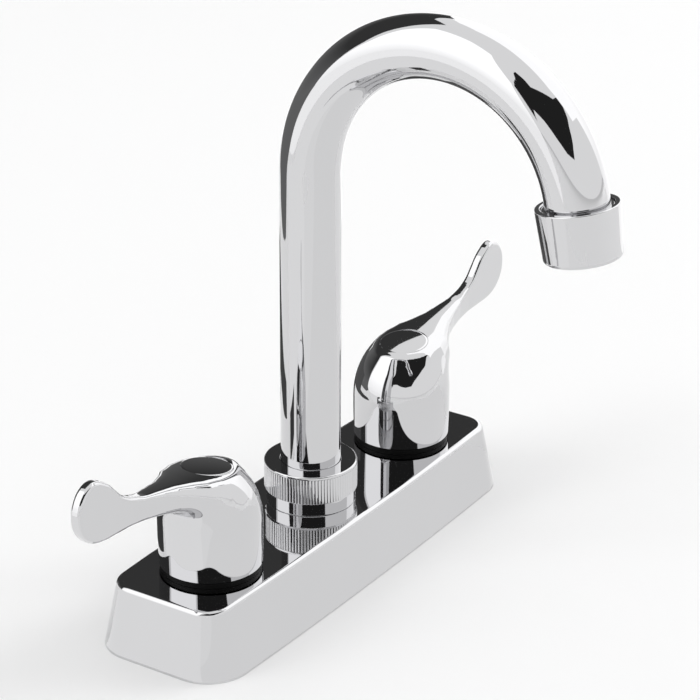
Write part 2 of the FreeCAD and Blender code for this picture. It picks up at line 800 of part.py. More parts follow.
def aerator_housing():
    """The tapering outlet shell that screws on the nipple."""
    washer_top, insert_top, ledge, foot = aerator_levels()
    shell = turned([(0, foot), (aerator_foot_radius, foot), (aerator_top_radius, 0), (0, 0)])
    foot_edges = [edge for edge in shell.Edges
                  if edge.Length > 1 and all(abs(vertex.Z - foot) < 1e-6 for vertex in edge.Vertexes)
                  and abs(edge.BoundBox.ZMax - foot) < 1e-3 and edge.Closed]
    shell = shell.makeFillet(aerator_foot_round, foot_edges)
    wide = pillar(aerator_bore_radius, ledge, cut_over)
    narrow = pillar(nipple_radius - aerator_lip, foot - cut_over, ledge + cut_over)
    return outlet_frame(shell.cut([wide, narrow]))


def aerator_washer():
    """The rubber washer between the nipple and the insert."""
    washer_top = aerator_levels()[0]
    return outlet_frame(ring(nipple_radius, tube_bore_radius, washer_top - aerator_washer_thickness,
                             washer_top))


def aerator_insert():
    """The plastic insert: a flanged cup whose floor has rows of small outlet holes."""
    washer_top, insert_top, ledge, housing_foot = aerator_levels()
    cup_radius = nipple_radius - aerator_lip - seat_gap
    foot = housing_foot + aerator_foot_round
    cup = pillar(cup_radius, foot, ledge).fuse(pillar(nipple_radius, ledge, insert_top))
    inside = pillar(cup_radius - insert_wall, foot + insert_floor, insert_top + cut_over)
    recess = pillar(nipple_radius - screen_margin, insert_top - insert_recess, insert_top + cut_over)
    holes = [pillar(insert_hole_radius, foot - cut_over, foot + insert_floor + cut_over)]
    for row in range(1, insert_hole_rows + 1):
        for step in range(6 * row):
            angle = 2 * math.pi * step / (6 * row)
            hole = pillar(insert_hole_radius, foot - cut_over, foot + insert_floor + cut_over)
            hole.translate(Vector(row * insert_hole_pitch * math.cos(angle),
                                  row * insert_hole_pitch * math.sin(angle), 0))
            holes.append(hole)
    return outlet_frame(cup.cut([inside, recess] + holes).removeSplitter())


def aerator_screen():
    """The wire screen in the insert's recess, as one disc with square gaps."""
    insert_top = aerator_levels()[1]
    radius = nipple_radius - screen_margin - seat_gap
    foot = insert_top - insert_recess
    outline = Part.Wire([Part.makeCircle(radius, Vector(0, 0, foot))])
    gaps = []
    reach = int(radius / screen_pitch)
    for column in range(-reach, reach + 1):
        for row in range(-reach, reach + 1):
            x, y = column * screen_pitch, row * screen_pitch
            if math.hypot(abs(x) + screen_hole, abs(y) + screen_hole) < radius:
                half = screen_hole / 2
                corners = [Vector(x - half, y - half, foot), Vector(x + half, y - half, foot),
                           Vector(x + half, y + half, foot), Vector(x - half, y + half, foot)]
                gaps.append(Part.makePolygon(corners + corners[:1]))
    face = Part.Face([outline] + gaps)
    face.validate()
    return outlet_frame(face.extrude(Vector(0, 0, screen_thickness)))


centre_pieces = {
    "base_cover": base_cover,
    "deck_plate": deck_plate,
    "waterway_body": waterway_body,
    "collar_nut": collar_nut,
    "thrust_washer": thrust_washer,
    "spout_tube": spout_tube,
    "spout_end_fitting": spout_fitting,
    "spout_seals": spout_seals,
    "spout_retaining_ring": retaining_ring,
    "outlet_nipple": outlet_nipple,
    "aerator_housing": aerator_housing,
    "aerator_washer": aerator_washer,
    "aerator_insert": aerator_insert,
    "aerator_screen": aerator_screen,
}

valve_pieces = {
    "handle": handle,
    "index_cap": index_cap,
    "handle_screw": handle_screw,
    "seat_ring": seat_ring,
    "bonnet_nut": bonnet_nut,
    "cartridge_housing": cartridge_housing,
    "valve_stem": valve_stem,
    "stem_seal": stem_seal,
    "stem_clip": stem_clip,
    "moving_disc": moving_disc,
    "fixed_disc": fixed_disc,
    "seat_gasket": seat_gasket,
    "inlet_shank": inlet_shank,
    "mounting_washer": mounting_washer,
    "mounting_nut": mounting_nut,
}


def place_at_valve(shape, side):
    """Move a valve's piece from the Z axis to the right-hand or left-hand valve."""
    placed = shape.copy()
    if side == "left":
        placed.rotate(Vector(0, 0, 0), Vector(0, 0, 1), 180)
    shift = valve_spacing / 2 if side == "right" else -valve_spacing / 2
    placed.translate(Vector(shift, 0, 0))
    return placed


def main():
    os.makedirs("parts", exist_ok=True)
    for name, make in centre_pieces.items():
        make().exportStep("parts/" + name + ".step")
    for name, make in valve_pieces.items():
        shape = make()
        for side in ("left", "right"):
            place_at_valve(shape, side).exportStep("parts/" + side + "_" + name + ".step")


main()
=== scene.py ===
"""Bathroom sink mixer: the visible pieces and finishes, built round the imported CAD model.

Everything stands in the CAD model's frame: +X runs to the right along the base, the spout reaches
towards -Y and +Z is up. Shapes are worked out in millimetres and their meshes are stored in metres.
"""
import json
import math

import bmesh
import bpy
import numpy as np
from mathutils import Matrix, Vector
from mathutils.geometry import tessellate_polygon


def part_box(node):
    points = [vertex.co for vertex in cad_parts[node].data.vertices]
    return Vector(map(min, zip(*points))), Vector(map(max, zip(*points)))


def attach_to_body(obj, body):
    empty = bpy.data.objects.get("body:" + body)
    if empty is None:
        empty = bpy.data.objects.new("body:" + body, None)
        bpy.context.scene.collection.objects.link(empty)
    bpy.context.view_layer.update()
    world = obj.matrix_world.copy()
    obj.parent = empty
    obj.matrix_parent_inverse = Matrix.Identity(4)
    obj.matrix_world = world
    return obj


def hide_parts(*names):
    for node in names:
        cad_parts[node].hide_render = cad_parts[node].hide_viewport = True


bl_info = {
    "name": "Bathroom Sink Mixer",
    "version": (1, 0, 0),
    "blender": (4, 5, 0),
    "location": "View3D > Sidebar > Mixer",
    "description": "Builds the visible pieces of a two-handle gooseneck sink mixer and its studio",
    "category": "Add Mesh",
}

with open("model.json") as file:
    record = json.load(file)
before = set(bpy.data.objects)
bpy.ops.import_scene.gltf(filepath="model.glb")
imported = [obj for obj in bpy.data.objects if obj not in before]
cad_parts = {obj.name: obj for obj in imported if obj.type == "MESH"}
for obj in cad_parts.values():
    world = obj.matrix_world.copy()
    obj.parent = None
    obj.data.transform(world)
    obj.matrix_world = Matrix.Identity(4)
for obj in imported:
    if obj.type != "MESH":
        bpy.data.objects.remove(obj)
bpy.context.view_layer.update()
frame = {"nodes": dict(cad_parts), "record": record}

MM = 0.001
# Width and height of the photograph in pixels
PHOTO_SIZE = 700

base_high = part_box("base_cover")[1]
tube_low, tube_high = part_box("spout_tube")
collar_low, collar_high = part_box("collar_nut")
ring_low, ring_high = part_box("right_seat_ring")
shank_low, shank_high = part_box("right_inlet_shank")
handle_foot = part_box("right_handle")[0].z / MM
valve_x = (ring_low.x + ring_high.x) / 2

# The values from here to the property groups are in millimetres. First, the radius of a turned
# piece's innermost ring, which closes on the axis
AXIS = 0.0001
# The short flat on both sides of each rounded corner of a turned profile, and an arc's steps
CORNER_FLAT = 0.12
ARC_STEP = math.radians(12)
# The bow of the base cover's long sides, and its outline at the foot and at the top as
# (half length, half depth at the ends, corner)
COVER_BOW = 1.55
COVER_FOOT = (base_high.x / MM, 22.78, 12.8)
COVER_TOP = (75.8, 18.2, 7.5)
# Shares of the side's height that carry points, the top edge's steps and the flat inside it
COVER_LEVELS = [0, 0.04, 0.5, 0.985, 1.0]
EDGE_STEPS = 8
EDGE_FLAT = 0.15
# How far the collar nut and the seat rings lap over their holes in the cover, and how many sides
# a hole has
COLLAR_LAP = 2.5
RING_LAP = 2.8
HOLE_SIDES = 64

# The lever's side view: how far out from the valve's axis, and how high over the deck
LEVER_SIDE = [(-7, 46), (-6, 50.6), (1, 52.8), (8.6, 53.8), (16, 54.8), (24, 55.8), (30, 56.5),
              (35, 57.3), (40, 59.7), (43, 62.5), (46, 65.6), (50, 68.1), (53.2, 68.6), (56.6, 66.9),
              (58.8, 63.5), (59.4, 60), (58.8, 56.5), (56.6, 53.3), (53.2, 51.0), (49, 50.0),
              (44, 49.7), (38, 49.4), (32, 48.7), (26, 47.6), (20, 46.1), (15, 44.6), (8, 42.4),
              (0, 41), (-5, 43)]
# The lever's half width and edge round at distances out from the valve's axis
LEVER_REACH = [-8, 0, 6, 11, 15, 20, 25, 31, 37, 46, 62]
LEVER_HALF_WIDTH = [3, 7.5, 9.8, 9.9, 7.8, 5.3, 3.8, 2.5, 1.95, 1.8, 1.75]
LEVER_EDGE_ROUND = [2.5, 4.6, 5.1, 5.05, 4.8, 3.9, 2.7, 1.7, 1.35, 1.2, 1.2]
# The skirt's radius at the dome's foot, and how much narrower it is at SKIRT_HEIGHT below that
SKIRT_RADIUS = 15.0
SKIRT_TAPER = 0.3
SKIRT_HEIGHT = 14.7
# The dome's foot and rise. Its shoulder is round at the back. From SHOULDER_TURN of the radius
# behind the axis to as much before it, the power of its curve grows by SHOULDER_FULLNESS.
DOME_FOOT = 35.0
DOME_RISE = 18.5
SHOULDER_FULLNESS = 0.7
SHOULDER_TURN = 0.55
# How softly the lever runs into the dome, and the round on the top's edge
ROOT_BLEND = 5.0
TOP_EDGE_BLEND = 0.9
# The handle's tilted top: its height over the cap's middle, which stands CAP_OFFSET towards the
# lever, and its crown, by which it drops with y * y / CROWN
TOP_HEIGHT = 52.2
CAP_OFFSET = 1.0
CROWN = 130.0
# Past TIP_START the top bends up, so that it doesn't cut the lever's raised tip
TIP_START = 30
TIP_LIFT = 0.06
# The block round a handle that its skin is looked for in, and the step of the search
HANDLE_LOW = (-16.3, 0, 20.3)
HANDLE_HIGH = (61.0, 16.0, 70.5)
HANDLE_STEP = 0.55


def length_property(name, description, default):
    """A property that holds a size in metres."""
    return bpy.props.FloatProperty(name=name, description=description, default=default,
                                   unit="LENGTH")


def angle_property(name, description, degrees):
    """A property that holds an angle."""
    return bpy.props.FloatProperty(name=name, description=description,
                                   default=math.radians(degrees), subtype="ANGLE")


def color_property(name, description, default):
    """A property that holds a colour."""
    return bpy.props.FloatVectorProperty(name=name, description=description, default=default,
                                         subtype="COLOR", min=0, max=1)


class MixerSizes(bpy.types.PropertyGroup):
    """Sizes that a user would change."""
    edge_round: length_property("Edge Round", "Round along the base cover's top edge", 0.0014)
    cover_wall: length_property("Cover Wall", "Wall of the pressed base cover", 0.002)
    tube_radius: length_property("Tube Radius", "Outer radius of the gooseneck tube", tube_high.x)
    tube_wall: length_property("Tube Wall", "Wall of the gooseneck tube", 0.0012)
    bend_radius: length_property("Bend Radius", "Radius of the gooseneck's centre line", 0.0429)
    bend_angle: angle_property("Bend Angle", "How far the gooseneck turns over", 170.3)
    riser_top: length_property("Riser Top", "Height over the deck where the bend starts", 0.12418)
    outlet_run: length_property("Outlet Run", "Straight run of tube inside the aerator", 0.006)
    knurl_count: bpy.props.IntProperty(
        name="Knurl Count", description="Ribs round the collar nut's band", default=90)
    knurl_height: length_property("Knurl Height", "Height of the collar nut's knurled band", 0.0081)
    rim_height: length_property("Rim Height", "Plain rim over the knurled band", 0.0009)
    cap_radius: length_property("Cap Radius", "Radius of the handles' index caps", 0.00745)
    cap_tilt: angle_property("Cap Tilt", "How far the caps lean up towards the levers", 7)
    thread_pitch: length_property("Thread Pitch", "Pitch of the inlet shanks' pipe thread", 0.0018)


class MixerFinish(bpy.types.PropertyGroup):
    """Colours and gloss that a user would change."""
    chrome_color: color_property("Chrome", "Reflection colour of the chrome plate", (0.66, 0.66, 0.67))
    chrome_roughness: bpy.props.FloatProperty(
        name="Chrome Roughness", description="How blurred the chrome's reflections are",
        default=0.03, subtype="FACTOR", min=0, max=1)
    brass_color: color_property("Brass", "Colour of the turned brass pieces", (0.72, 0.52, 0.24))
    steel_color: color_property("Steel", "Colour of the stainless steel pieces", (0.58, 0.57, 0.56))
    black_color: color_property(
        "Black Plastic", "Colour of the seat rings and the deck plate", (0.003, 0.003, 0.003))
    nylon_color: color_property(
        "White Plastic", "Colour of the slip washer and retaining ring", (0.8, 0.79, 0.74))
    acetal_color: color_property("Grey Plastic", "Colour of the aerator insert", (0.36, 0.37, 0.39))
    rubber_color: color_property("Rubber", "Colour of the seals and gaskets", (0.012, 0.012, 0.013))
    ceramic_color: color_property("Ceramic", "Colour of the lapped discs", (0.82, 0.79, 0.74))


class MixerStudio(bpy.types.PropertyGroup):
    """The studio's floor and light."""
    floor_color: color_property("Floor", "Colour of the studio floor", (0.95, 0.95, 0.95))
    fill_strength: bpy.props.FloatProperty(
        name="Fill Strength", description="Strength of the world's plain light on the object",
        default=0.74, min=0)
    lamp_strength: bpy.props.FloatProperty(
        name="Lamp Strength", description="Strength of the two soft lamps",
        default=1.0, min=0)


class Value:
    """A socket in a node tree, with the arithmetic that plain expressions need."""

    def __init__(self, tree, socket):
        self.tree = tree
        self.socket = socket

    def __add__(self, other):
        return self.tree.maths("ADD", self, other)

    def __sub__(self, other):
        return self.tree.maths("SUBTRACT", self, other)

    def __rsub__(self, other):
        return self.tree.maths("SUBTRACT", other, self)

    def __mul__(self, other):
        return self.tree.maths("MULTIPLY", self, other)

    def __truediv__(self, other):
        return self.tree.maths("DIVIDE", self, other)

    def __rtruediv__(self, other):
        return self.tree.maths("DIVIDE", other, self)

    __radd__ = __add__
    __rmul__ = __mul__


class Tree:
    """A node tree that is written as expressions."""

    def __init__(self, nodes, links):
        self.nodes = nodes
        self.links = links

    def node(self, kind, settings=None, values=None, output=0):
        """One node: its settings first, then the values or links of its sockets."""
        made = self.nodes.new(kind)
        for key, setting in (settings or {}).items():
            setattr(made, key, setting)
        for key, value in (values or {}).items():
            if isinstance(value, Value):
                self.links.new(value.socket, made.inputs[key])
            else:
                made.inputs[key].default_value = value
        return Value(self, made.outputs[output]) if made.outputs else made

    def maths(self, operation, *values):
        """A Math node on values or numbers."""
        return self.node("ShaderNodeMath", {"operation": operation}, dict(enumerate(values)))

    def vector(self, x, y, z):
        """A vector from three values or numbers."""
        return self.node("ShaderNodeCombineXYZ", None, {0: x, 1: y, 2: z})

    def parts(self, vector):
        """The X, Y and Z of a vector."""
        split = self.node("ShaderNodeSeparateXYZ", None, {0: vector})
        return [Value(self, socket) for socket in split.socket.node.outputs]


def tree_of(owner):
    """The node tree of a material or a world."""
    owner.use_nodes = True
    return Tree(owner.node_tree.nodes, owner.node_tree.links)


def finish(name, principled, recipe):
    """A Principled material: its fixed values, and a recipe for what changes over the surface."""
    made = bpy.data.materials.new("mixer " + name)
    tree = tree_of(made)
    shader = tree.nodes["Principled BSDF"]
    for key, value in principled.items():
        shader.inputs[key].default_value = value
    place = tree.node("ShaderNodeTexCoord", output="Object")
    for key, value in recipe(tree, place).items():
        tree.links.new(value.socket, shader.inputs[key])


def noise(tree, place, scale, detail):
    """Fractal noise between 0 and 1 over Object coordinates, with its scale per metre."""
    return tree.node("ShaderNodeTexNoise", None,
                     {"Vector": place, "Scale": scale, "Detail": detail})


def bump(tree, height, distance):
    """A normal from a height pattern and the metres that a height of 1 stands for."""
    return tree.node("ShaderNodeBump", None,
                     {"Height": height, "Distance": distance, "Strength": 1.0})


def tint(tree, factor, dark, light):
    """A colour between two, by a factor. Sockets 6, 7 and 2 are the Mix node's colours."""
    return tree.node("ShaderNodeMix", {"data_type": "RGBA"},
                     {0: factor, 6: (*dark, 1.0), 7: (*light, 1.0)}, output=2)


def shade(color, share):
    """A colour brought down to a share of its light."""
    return tuple(channel * share for channel in color)


def make_finishes(look):
    """One finish for each of the record's slots."""

    def plated(darkest):
        """Chrome plate with a faint cloud in its colour and wiped streaks in its gloss."""
        def recipe(tree, place):
            wipe = noise(tree, place, scale=90, detail=3)
            cloud = noise(tree, place, scale=35, detail=2)
            return {"Base Color": tint(tree, cloud, shade(look.chrome_color, darkest),
                                       look.chrome_color),
                    "Roughness": look.chrome_roughness * 0.7 + wipe * (look.chrome_roughness * 0.6)}
        return recipe

    def turned_brass(tree, place):
        """Brass with fine turning lines round the Z axis and a blotchy tarnish."""
        line_spacing, line_depth = 0.00035, 0.000006
        height = tree.parts(place)[2]
        lines = tree.maths("SINE", height * (math.tau / line_spacing))
        blotch = noise(tree, place, scale=160, detail=4)
        return {"Base Color": tint(tree, blotch, shade(look.brass_color, 0.82), look.brass_color),
                "Roughness": 0.2 + blotch * 0.16,
                "Normal": bump(tree, lines, line_depth)}

    def brushed_steel(tree, place):
        """Steel with a fine grain in its colour and its gloss."""
        grain = noise(tree, place, scale=900, detail=2)
        return {"Base Color": tint(tree, grain, shade(look.steel_color, 0.88), look.steel_color),
                "Roughness": 0.22 + grain * 0.14}

    def moulded(color, rough, grain_scale, depth):
        """Plastic, rubber or ceramic with a fine grain and a faint cloud."""
        def recipe(tree, place):
            grain = noise(tree, place, scale=grain_scale, detail=3)
            cloud = noise(tree, place, scale=70, detail=2)
            return {"Base Color": tint(tree, cloud, shade(color, 0.9), color),
                    "Roughness": rough + grain * 0.14,
                    "Normal": bump(tree, grain, depth)}
        return recipe

    metal = {"Metallic": 1.0}
    finish("chrome", metal, plated(darkest=0.97))
    finish("chrome_cap", metal, plated(darkest=0.96))
    finish("brass", metal, turned_brass)
    finish("steel", metal, brushed_steel)
    finish("black_plastic", {"Specular IOR Level": 0.1},
           moulded(look.black_color, rough=0.42, grain_scale=1500, depth=0.00002))
    for name, color, rough, grain_scale, depth in (
            ("white_plastic", look.nylon_color, 0.35, 1200, 0.00001),
            ("grey_plastic", look.acetal_color, 0.3, 1200, 0.00001),
            ("black_rubber", look.rubber_color, 0.6, 2200, 0.00002),
            ("ceramic", look.ceramic_color, 0.12, 700, 0.000004)):
        finish(name, {}, moulded(color, rough, grain_scale, depth))


def material(slot):
    """The finish of one of the record's slots."""
    return bpy.data.materials["mixer " + slot]


def put(name, data):
    """A new object in the scene, at the origin."""
    made = bpy.data.objects.new(name, data)
    bpy.context.scene.collection.objects.link(made)
    return made


def new_mesh(name, points, faces):
    """A mesh object from points in metres."""
    mesh = bpy.data.meshes.new(name)
    mesh.from_pydata(points, [], faces)
    return put(name, mesh)


def new_piece(name, points, faces, slot):
    """A mesh object from points in millimetres, with the finish of a slot."""
    piece = new_mesh(name, [tuple(MM * value for value in point) for point in points], faces)
    piece.data.materials.append(material(slot))
    return piece


def tidy(piece, sharp_angle, outward=False):
    """Merges doubles, turns faces outwards if asked, and shades smooth except over sharp edges."""
    mesh = bmesh.new()
    mesh.from_mesh(piece.data)
    bmesh.ops.remove_doubles(mesh, verts=mesh.verts, dist=1e-7)
    if outward:
        bmesh.ops.recalc_face_normals(mesh, faces=mesh.faces)
    mesh.to_mesh(piece.data)
    mesh.free()
    piece.data.shade_smooth()
    piece.data.set_sharp_from_angle(angle=math.radians(sharp_angle))
    return piece


def attach(piece, body, node):
    """Hands a finished piece to the frame."""
    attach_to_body(piece, body)
    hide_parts(node)


def place(piece, matrix):
    """Moves a piece by its mesh, so that its object stays at the origin."""
    piece.data.transform(matrix)


def rounded(corners):
    """A profile through (radius, height, round) corners, each with an arc of that round."""
    profile = []
    for index, (x, z, size) in enumerate(corners):
        here = np.array([x, z], float)
        if size <= 0:
            profile.append(tuple(here))
            continue
        before = np.array(corners[index - 1][:2], float) - here
        after = np.array(corners[(index + 1) % len(corners)][:2], float) - here
        before_unit, after_unit = before / np.linalg.norm(before), after / np.linalg.norm(after)
        half = math.acos(float(np.clip(before_unit @ after_unit, -1, 1))) / 2
        run = size / math.tan(half)
        inward = before_unit + after_unit
        middle = here + inward / np.linalg.norm(inward) * (size / math.sin(half))
        start, end = here + before_unit * run, here + after_unit * run
        first = math.atan2(start[1] - middle[1], start[0] - middle[0])
        last = math.atan2(end[1] - middle[1], end[0] - middle[0])
        sweep = (last - first + math.pi) % math.tau - math.pi
        steps = max(3, int(abs(sweep) / ARC_STEP))
        flat = min(CORNER_FLAT, run * 0.5)
        profile.append(tuple(start + before_unit * flat))
        for step in range(steps + 1):
            angle = first + sweep * step / steps
            profile.append((middle[0] + size * math.cos(angle), middle[1] + size * math.sin(angle)))
        profile.append(tuple(end + after_unit * flat))
    return profile


def around_ring(count):
    """Each place on a closed ring of count points, with the place after it."""
    return [(index, (index + 1) % count) for index in range(count)]


def turned(name, profile, slot, segments):
    """A closed profile of (radius, height), turned about the Z axis."""
    points, faces = [], []
    count = len(profile)
    for step in range(segments):
        angle = math.tau * step / segments
        points += [(radius * math.cos(angle), radius * math.sin(angle), height)
                   for radius, height in profile]
    for step, next_step in around_ring(segments):
        near, far = step * count, next_step * count
        faces += [(near + index, far + index, far + other, near + other)
                  for index, other in around_ring(count)]
    return new_piece(name, points, faces, slot)


def bake(piece, modifier):
    """Keeps what a modifier makes as the piece's plain mesh."""
    bpy.context.view_layer.update()
    graph = bpy.context.evaluated_depsgraph_get()
    result = bpy.data.meshes.new_from_object(piece.evaluated_get(graph))
    if not result.polygons:
        raise RuntimeError(modifier.name + " left nothing of " + piece.name)
    piece.modifiers.remove(modifier)
    piece.data = result


# Kinds of a geometry tree's inputs
NUMBER, WHOLE, FINISH = "NodeSocketFloat", "NodeSocketInt", "NodeSocketMaterial"


def geometry_tree(name, inputs):
    """An empty geometry tree with named inputs, as (group, tree, inputs by name)."""
    group = bpy.data.node_groups.new(name, "GeometryNodeTree")
    sockets = group.interface
    for way in ("OUTPUT", "INPUT"):
        sockets.new_socket("Geometry", in_out=way, socket_type="NodeSocketGeometry")
    for label, (kind, default) in inputs.items():
        made = sockets.new_socket(label, in_out="INPUT", socket_type=kind)
        if default is not None:
            made.default_value = default
    tree = Tree(group.nodes, group.links)
    source = tree.node("NodeGroupInput").socket.node
    given = {socket.name: Value(tree, socket) for socket in source.outputs if socket.name}
    return group, tree, given


def join(tree, first, second):
    """Two geometries as one."""
    both = tree.node("GeometryNodeJoinGeometry", None, {0: first})
    tree.links.new(second.socket, both.socket.node.inputs[0])
    return both


def close_tree(tree, geometry, given):
    """Ends a tree in Realize Instances and Set Material."""
    real = tree.node("GeometryNodeRealizeInstances", None, {0: geometry})
    dressed = tree.node("GeometryNodeSetMaterial", None, {0: real, "Material": given["Material"]})
    tree.node("NodeGroupOutput", None, {0: dressed})


def grow(piece, group, values):
    """Runs a geometry tree on a piece and keeps the result as its plain mesh."""
    modifier = piece.modifiers.new(group.name, "NODES")
    modifier.node_group = group
    names = {item.name: item.identifier for item in group.interface.items_tree
             if item.item_type == "SOCKET" and item.in_out == "INPUT"}
    for label, value in values.items():
        modifier[names[label]] = value
    bake(piece, modifier)


def base_outline(half_length, half_depth, corner, bow):
    """The base's outline in one level: (point, outward normal) pairs with smooth corners.

    The long sides are bowed, the ends are straight, and each corner's arc touches both. The ends
    stand a little inside half_length, because the bowed sides lean where the arcs meet them.
    """
    quarter = []

    def side(x):
        return half_depth + bow * (1 - (x / half_length) ** 2)

    def slope(x):
        return -2 * bow * x / half_length ** 2

    contact = half_length - corner
    for _ in range(20):
        contact = half_length - corner + corner * slope(contact) / math.hypot(1, slope(contact))
    normal_angle = math.atan2(1, -slope(contact))
    centre_y = side(contact) - corner * math.sin(normal_angle)
    centre_x = contact - corner * math.cos(normal_angle)
    end_x = centre_x + corner
    side_steps, arc_steps, end_steps = 40, 16, 5
    for step in range(end_steps):
        quarter.append(((end_x, centre_y * step / end_steps), (1.0, 0.0)))
    for step in range(arc_steps):
        angle = normal_angle * step / arc_steps
        normal = (math.cos(angle), math.sin(angle))
        quarter.append(((centre_x + corner * normal[0], centre_y + corner * normal[1]), normal))
    for step in range(side_steps):
        x = contact * (1 - step / side_steps)
        run = math.hypot(1, slope(x))
        quarter.append(((x, side(x)), (-slope(x) / run, 1 / run)))
    left = [((-x, y), (-nx, ny)) for (x, y), (nx, ny) in quarter]
    middle = ((0.0, side(0)), (0.0, 1.0))
    upper = quarter + [middle] + left[::-1]
    lower = [((x, -y), (nx, -ny)) for (x, y), (nx, ny) in upper[1:-1]]
    return upper + lower[::-1]


def cover_sides(height, edge):
    """Rings of points up the cover's sides and over its rounded top edge, and their number."""
    columns = []
    for (foot, _), (top, normal) in zip(base_outline(*COVER_FOOT, COVER_BOW),
                                        base_outline(*COVER_TOP, COVER_BOW)):
        foot, top, normal = map(np.array, (foot, top, normal))
        lean = math.atan2((foot - top) @ normal, height)
        inset = edge * (1 - math.sin(lean)) / math.cos(lean)
        side_top = height - edge + edge * math.sin(lean)
        column = []
        for share in COVER_LEVELS:
            level = share * side_top
            column.append((*(top + (foot - top) * ((height - level) / height)), level))
        for step in range(EDGE_STEPS):
            angle = lean + (math.pi / 2 - lean) * (step + 1) / EDGE_STEPS
            point = top + normal * (edge * math.cos(angle) - inset)
            column.append((*point, height - edge + edge * math.sin(angle)))
        column.append((*(top - normal * (inset + EDGE_FLAT)), height))
        columns.append(column)
    return [point for ring in zip(*columns) for point in ring], len(columns[0])


def build_cover(sizes):
    """The base cover: bowed, tapering sides, a rounded top edge and holes for the hubs."""
    height, wall = base_high.z / MM, sizes.cover_wall / MM
    points, rings = cover_sides(height, sizes.edge_round / MM)
    count = len(points) // rings
    faces = []
    for row in range(rings - 1):
        low, high = row * count, (row + 1) * count
        faces += [(low + index, low + other, high + other, high + index)
                  for index, other in around_ring(count)]
    outer_top, inner_foot = (rings - 1) * count, len(points)
    inner_top, ceiling = inner_foot + count, height - wall
    inside = [base_outline(*(size - wall for size in outline), COVER_BOW)
              for outline in (COVER_FOOT, COVER_TOP)]
    for level in (0, ceiling):
        share = level / height
        for (low, _), (high, _) in zip(*inside):
            points.append((low[0] + (high[0] - low[0]) * share,
                           low[1] + (high[1] - low[1]) * share, level))
    for index, other in around_ring(count):
        faces.append((inner_foot + other, inner_foot + index, inner_top + index, inner_top + other))
        faces.append((index, inner_foot + index, inner_foot + other, other))
    hub = (collar_high.x - collar_low.x) / 2 / MM - COLLAR_LAP
    valve = (ring_high.x - ring_low.x) / 2 / MM - RING_LAP
    loops = {height: [], ceiling: []}
    for centre, radius in ((0, hub), (-valve_x / MM, valve), (valve_x / MM, valve)):
        start = len(points)
        for level in (height, ceiling):
            loops[level].append(list(range(len(points), len(points) + HOLE_SIDES)))
            for step in range(HOLE_SIDES):
                angle = math.tau * step / HOLE_SIDES
                points.append((centre + radius * math.cos(angle), radius * math.sin(angle), level))
        below = start + HOLE_SIDES
        faces += [(start + index, below + index, below + other, start + other)
                  for index, other in around_ring(HOLE_SIDES)]
    piece = new_piece("base_cover_shell", points, faces, "chrome")
    mesh = bmesh.new()
    mesh.from_mesh(piece.data)
    mesh.verts.ensure_lookup_table()
    for level, start, up in ((height, outer_top, 1), (ceiling, inner_top, -1)):
        border = []
        for loop in [list(range(start, start + count))] + loops[level]:
            for index, other in around_ring(len(loop)):
                pair = (mesh.verts[loop[index]], mesh.verts[loop[other]])
                border.append(mesh.edges.get(pair) or mesh.edges.new(pair))
        filled = bmesh.ops.triangle_fill(mesh, edges=border, use_beauty=True)
        for face in [item for item in filled["geom"] if isinstance(item, bmesh.types.BMFace)]:
            if face.normal.z * up < 0:
                face.normal_flip()
    mesh.to_mesh(piece.data)
    mesh.free()
    tidy(piece, 40)
    attach(piece, "mixer_body", "base_cover")


def spout_path_tree():
    """The gooseneck: a riser, a bend and a short outlet run, swept with a round profile."""
    group, tree, given = geometry_tree("Gooseneck Tube", {
        "Foot Height": (NUMBER, 0.025), "Riser Top": (NUMBER, 0.1242),
        "Bend Radius": (NUMBER, 0.0429), "Bend Angle": (NUMBER, 2.97),
        "Outlet Run": (NUMBER, 0.006), "Tube Radius": (NUMBER, 0.0089),
        "Steps": (WHOLE, 260), "Sides": (WHOLE, 96), "Material": (FINISH, None)})
    riser = given["Riser Top"] - given["Foot Height"]
    bend = given["Bend Radius"] * given["Bend Angle"]
    line = tree.node("GeometryNodeCurvePrimitiveLine", None, {"End": (0, 0, 1.0)})
    fine = tree.node("GeometryNodeResampleCurve", None, {"Curve": line, "Count": given["Steps"]})
    along = tree.node("GeometryNodeSplineParameter") * (riser + bend + given["Outlet Run"])
    turn = tree.maths("MINIMUM", tree.maths("MAXIMUM", (along - riser) / given["Bend Radius"], 0.0),
                      given["Bend Angle"])
    rise = tree.maths("MINIMUM", along, riser)
    run = tree.maths("MAXIMUM", along - (riser + bend), 0.0)
    sine, cosine = tree.maths("SINE", turn), tree.maths("COSINE", turn)
    y = given["Bend Radius"] * (cosine - 1.0) - sine * run
    z = given["Foot Height"] + rise + given["Bend Radius"] * sine + cosine * run
    path = tree.node("GeometryNodeSetPosition", None,
                     {"Geometry": fine, "Position": tree.vector(0.0, y, z)})
    circle = tree.node("GeometryNodeCurvePrimitiveCircle", None,
                       {"Resolution": given["Sides"], "Radius": given["Tube Radius"]})
    pipe = tree.node("GeometryNodeCurveToMesh", None, {"Curve": path, "Profile Curve": circle})
    close_tree(tree, tree.node("GeometryNodeSetShadeSmooth", None, {"Geometry": pipe}), given)
    return group


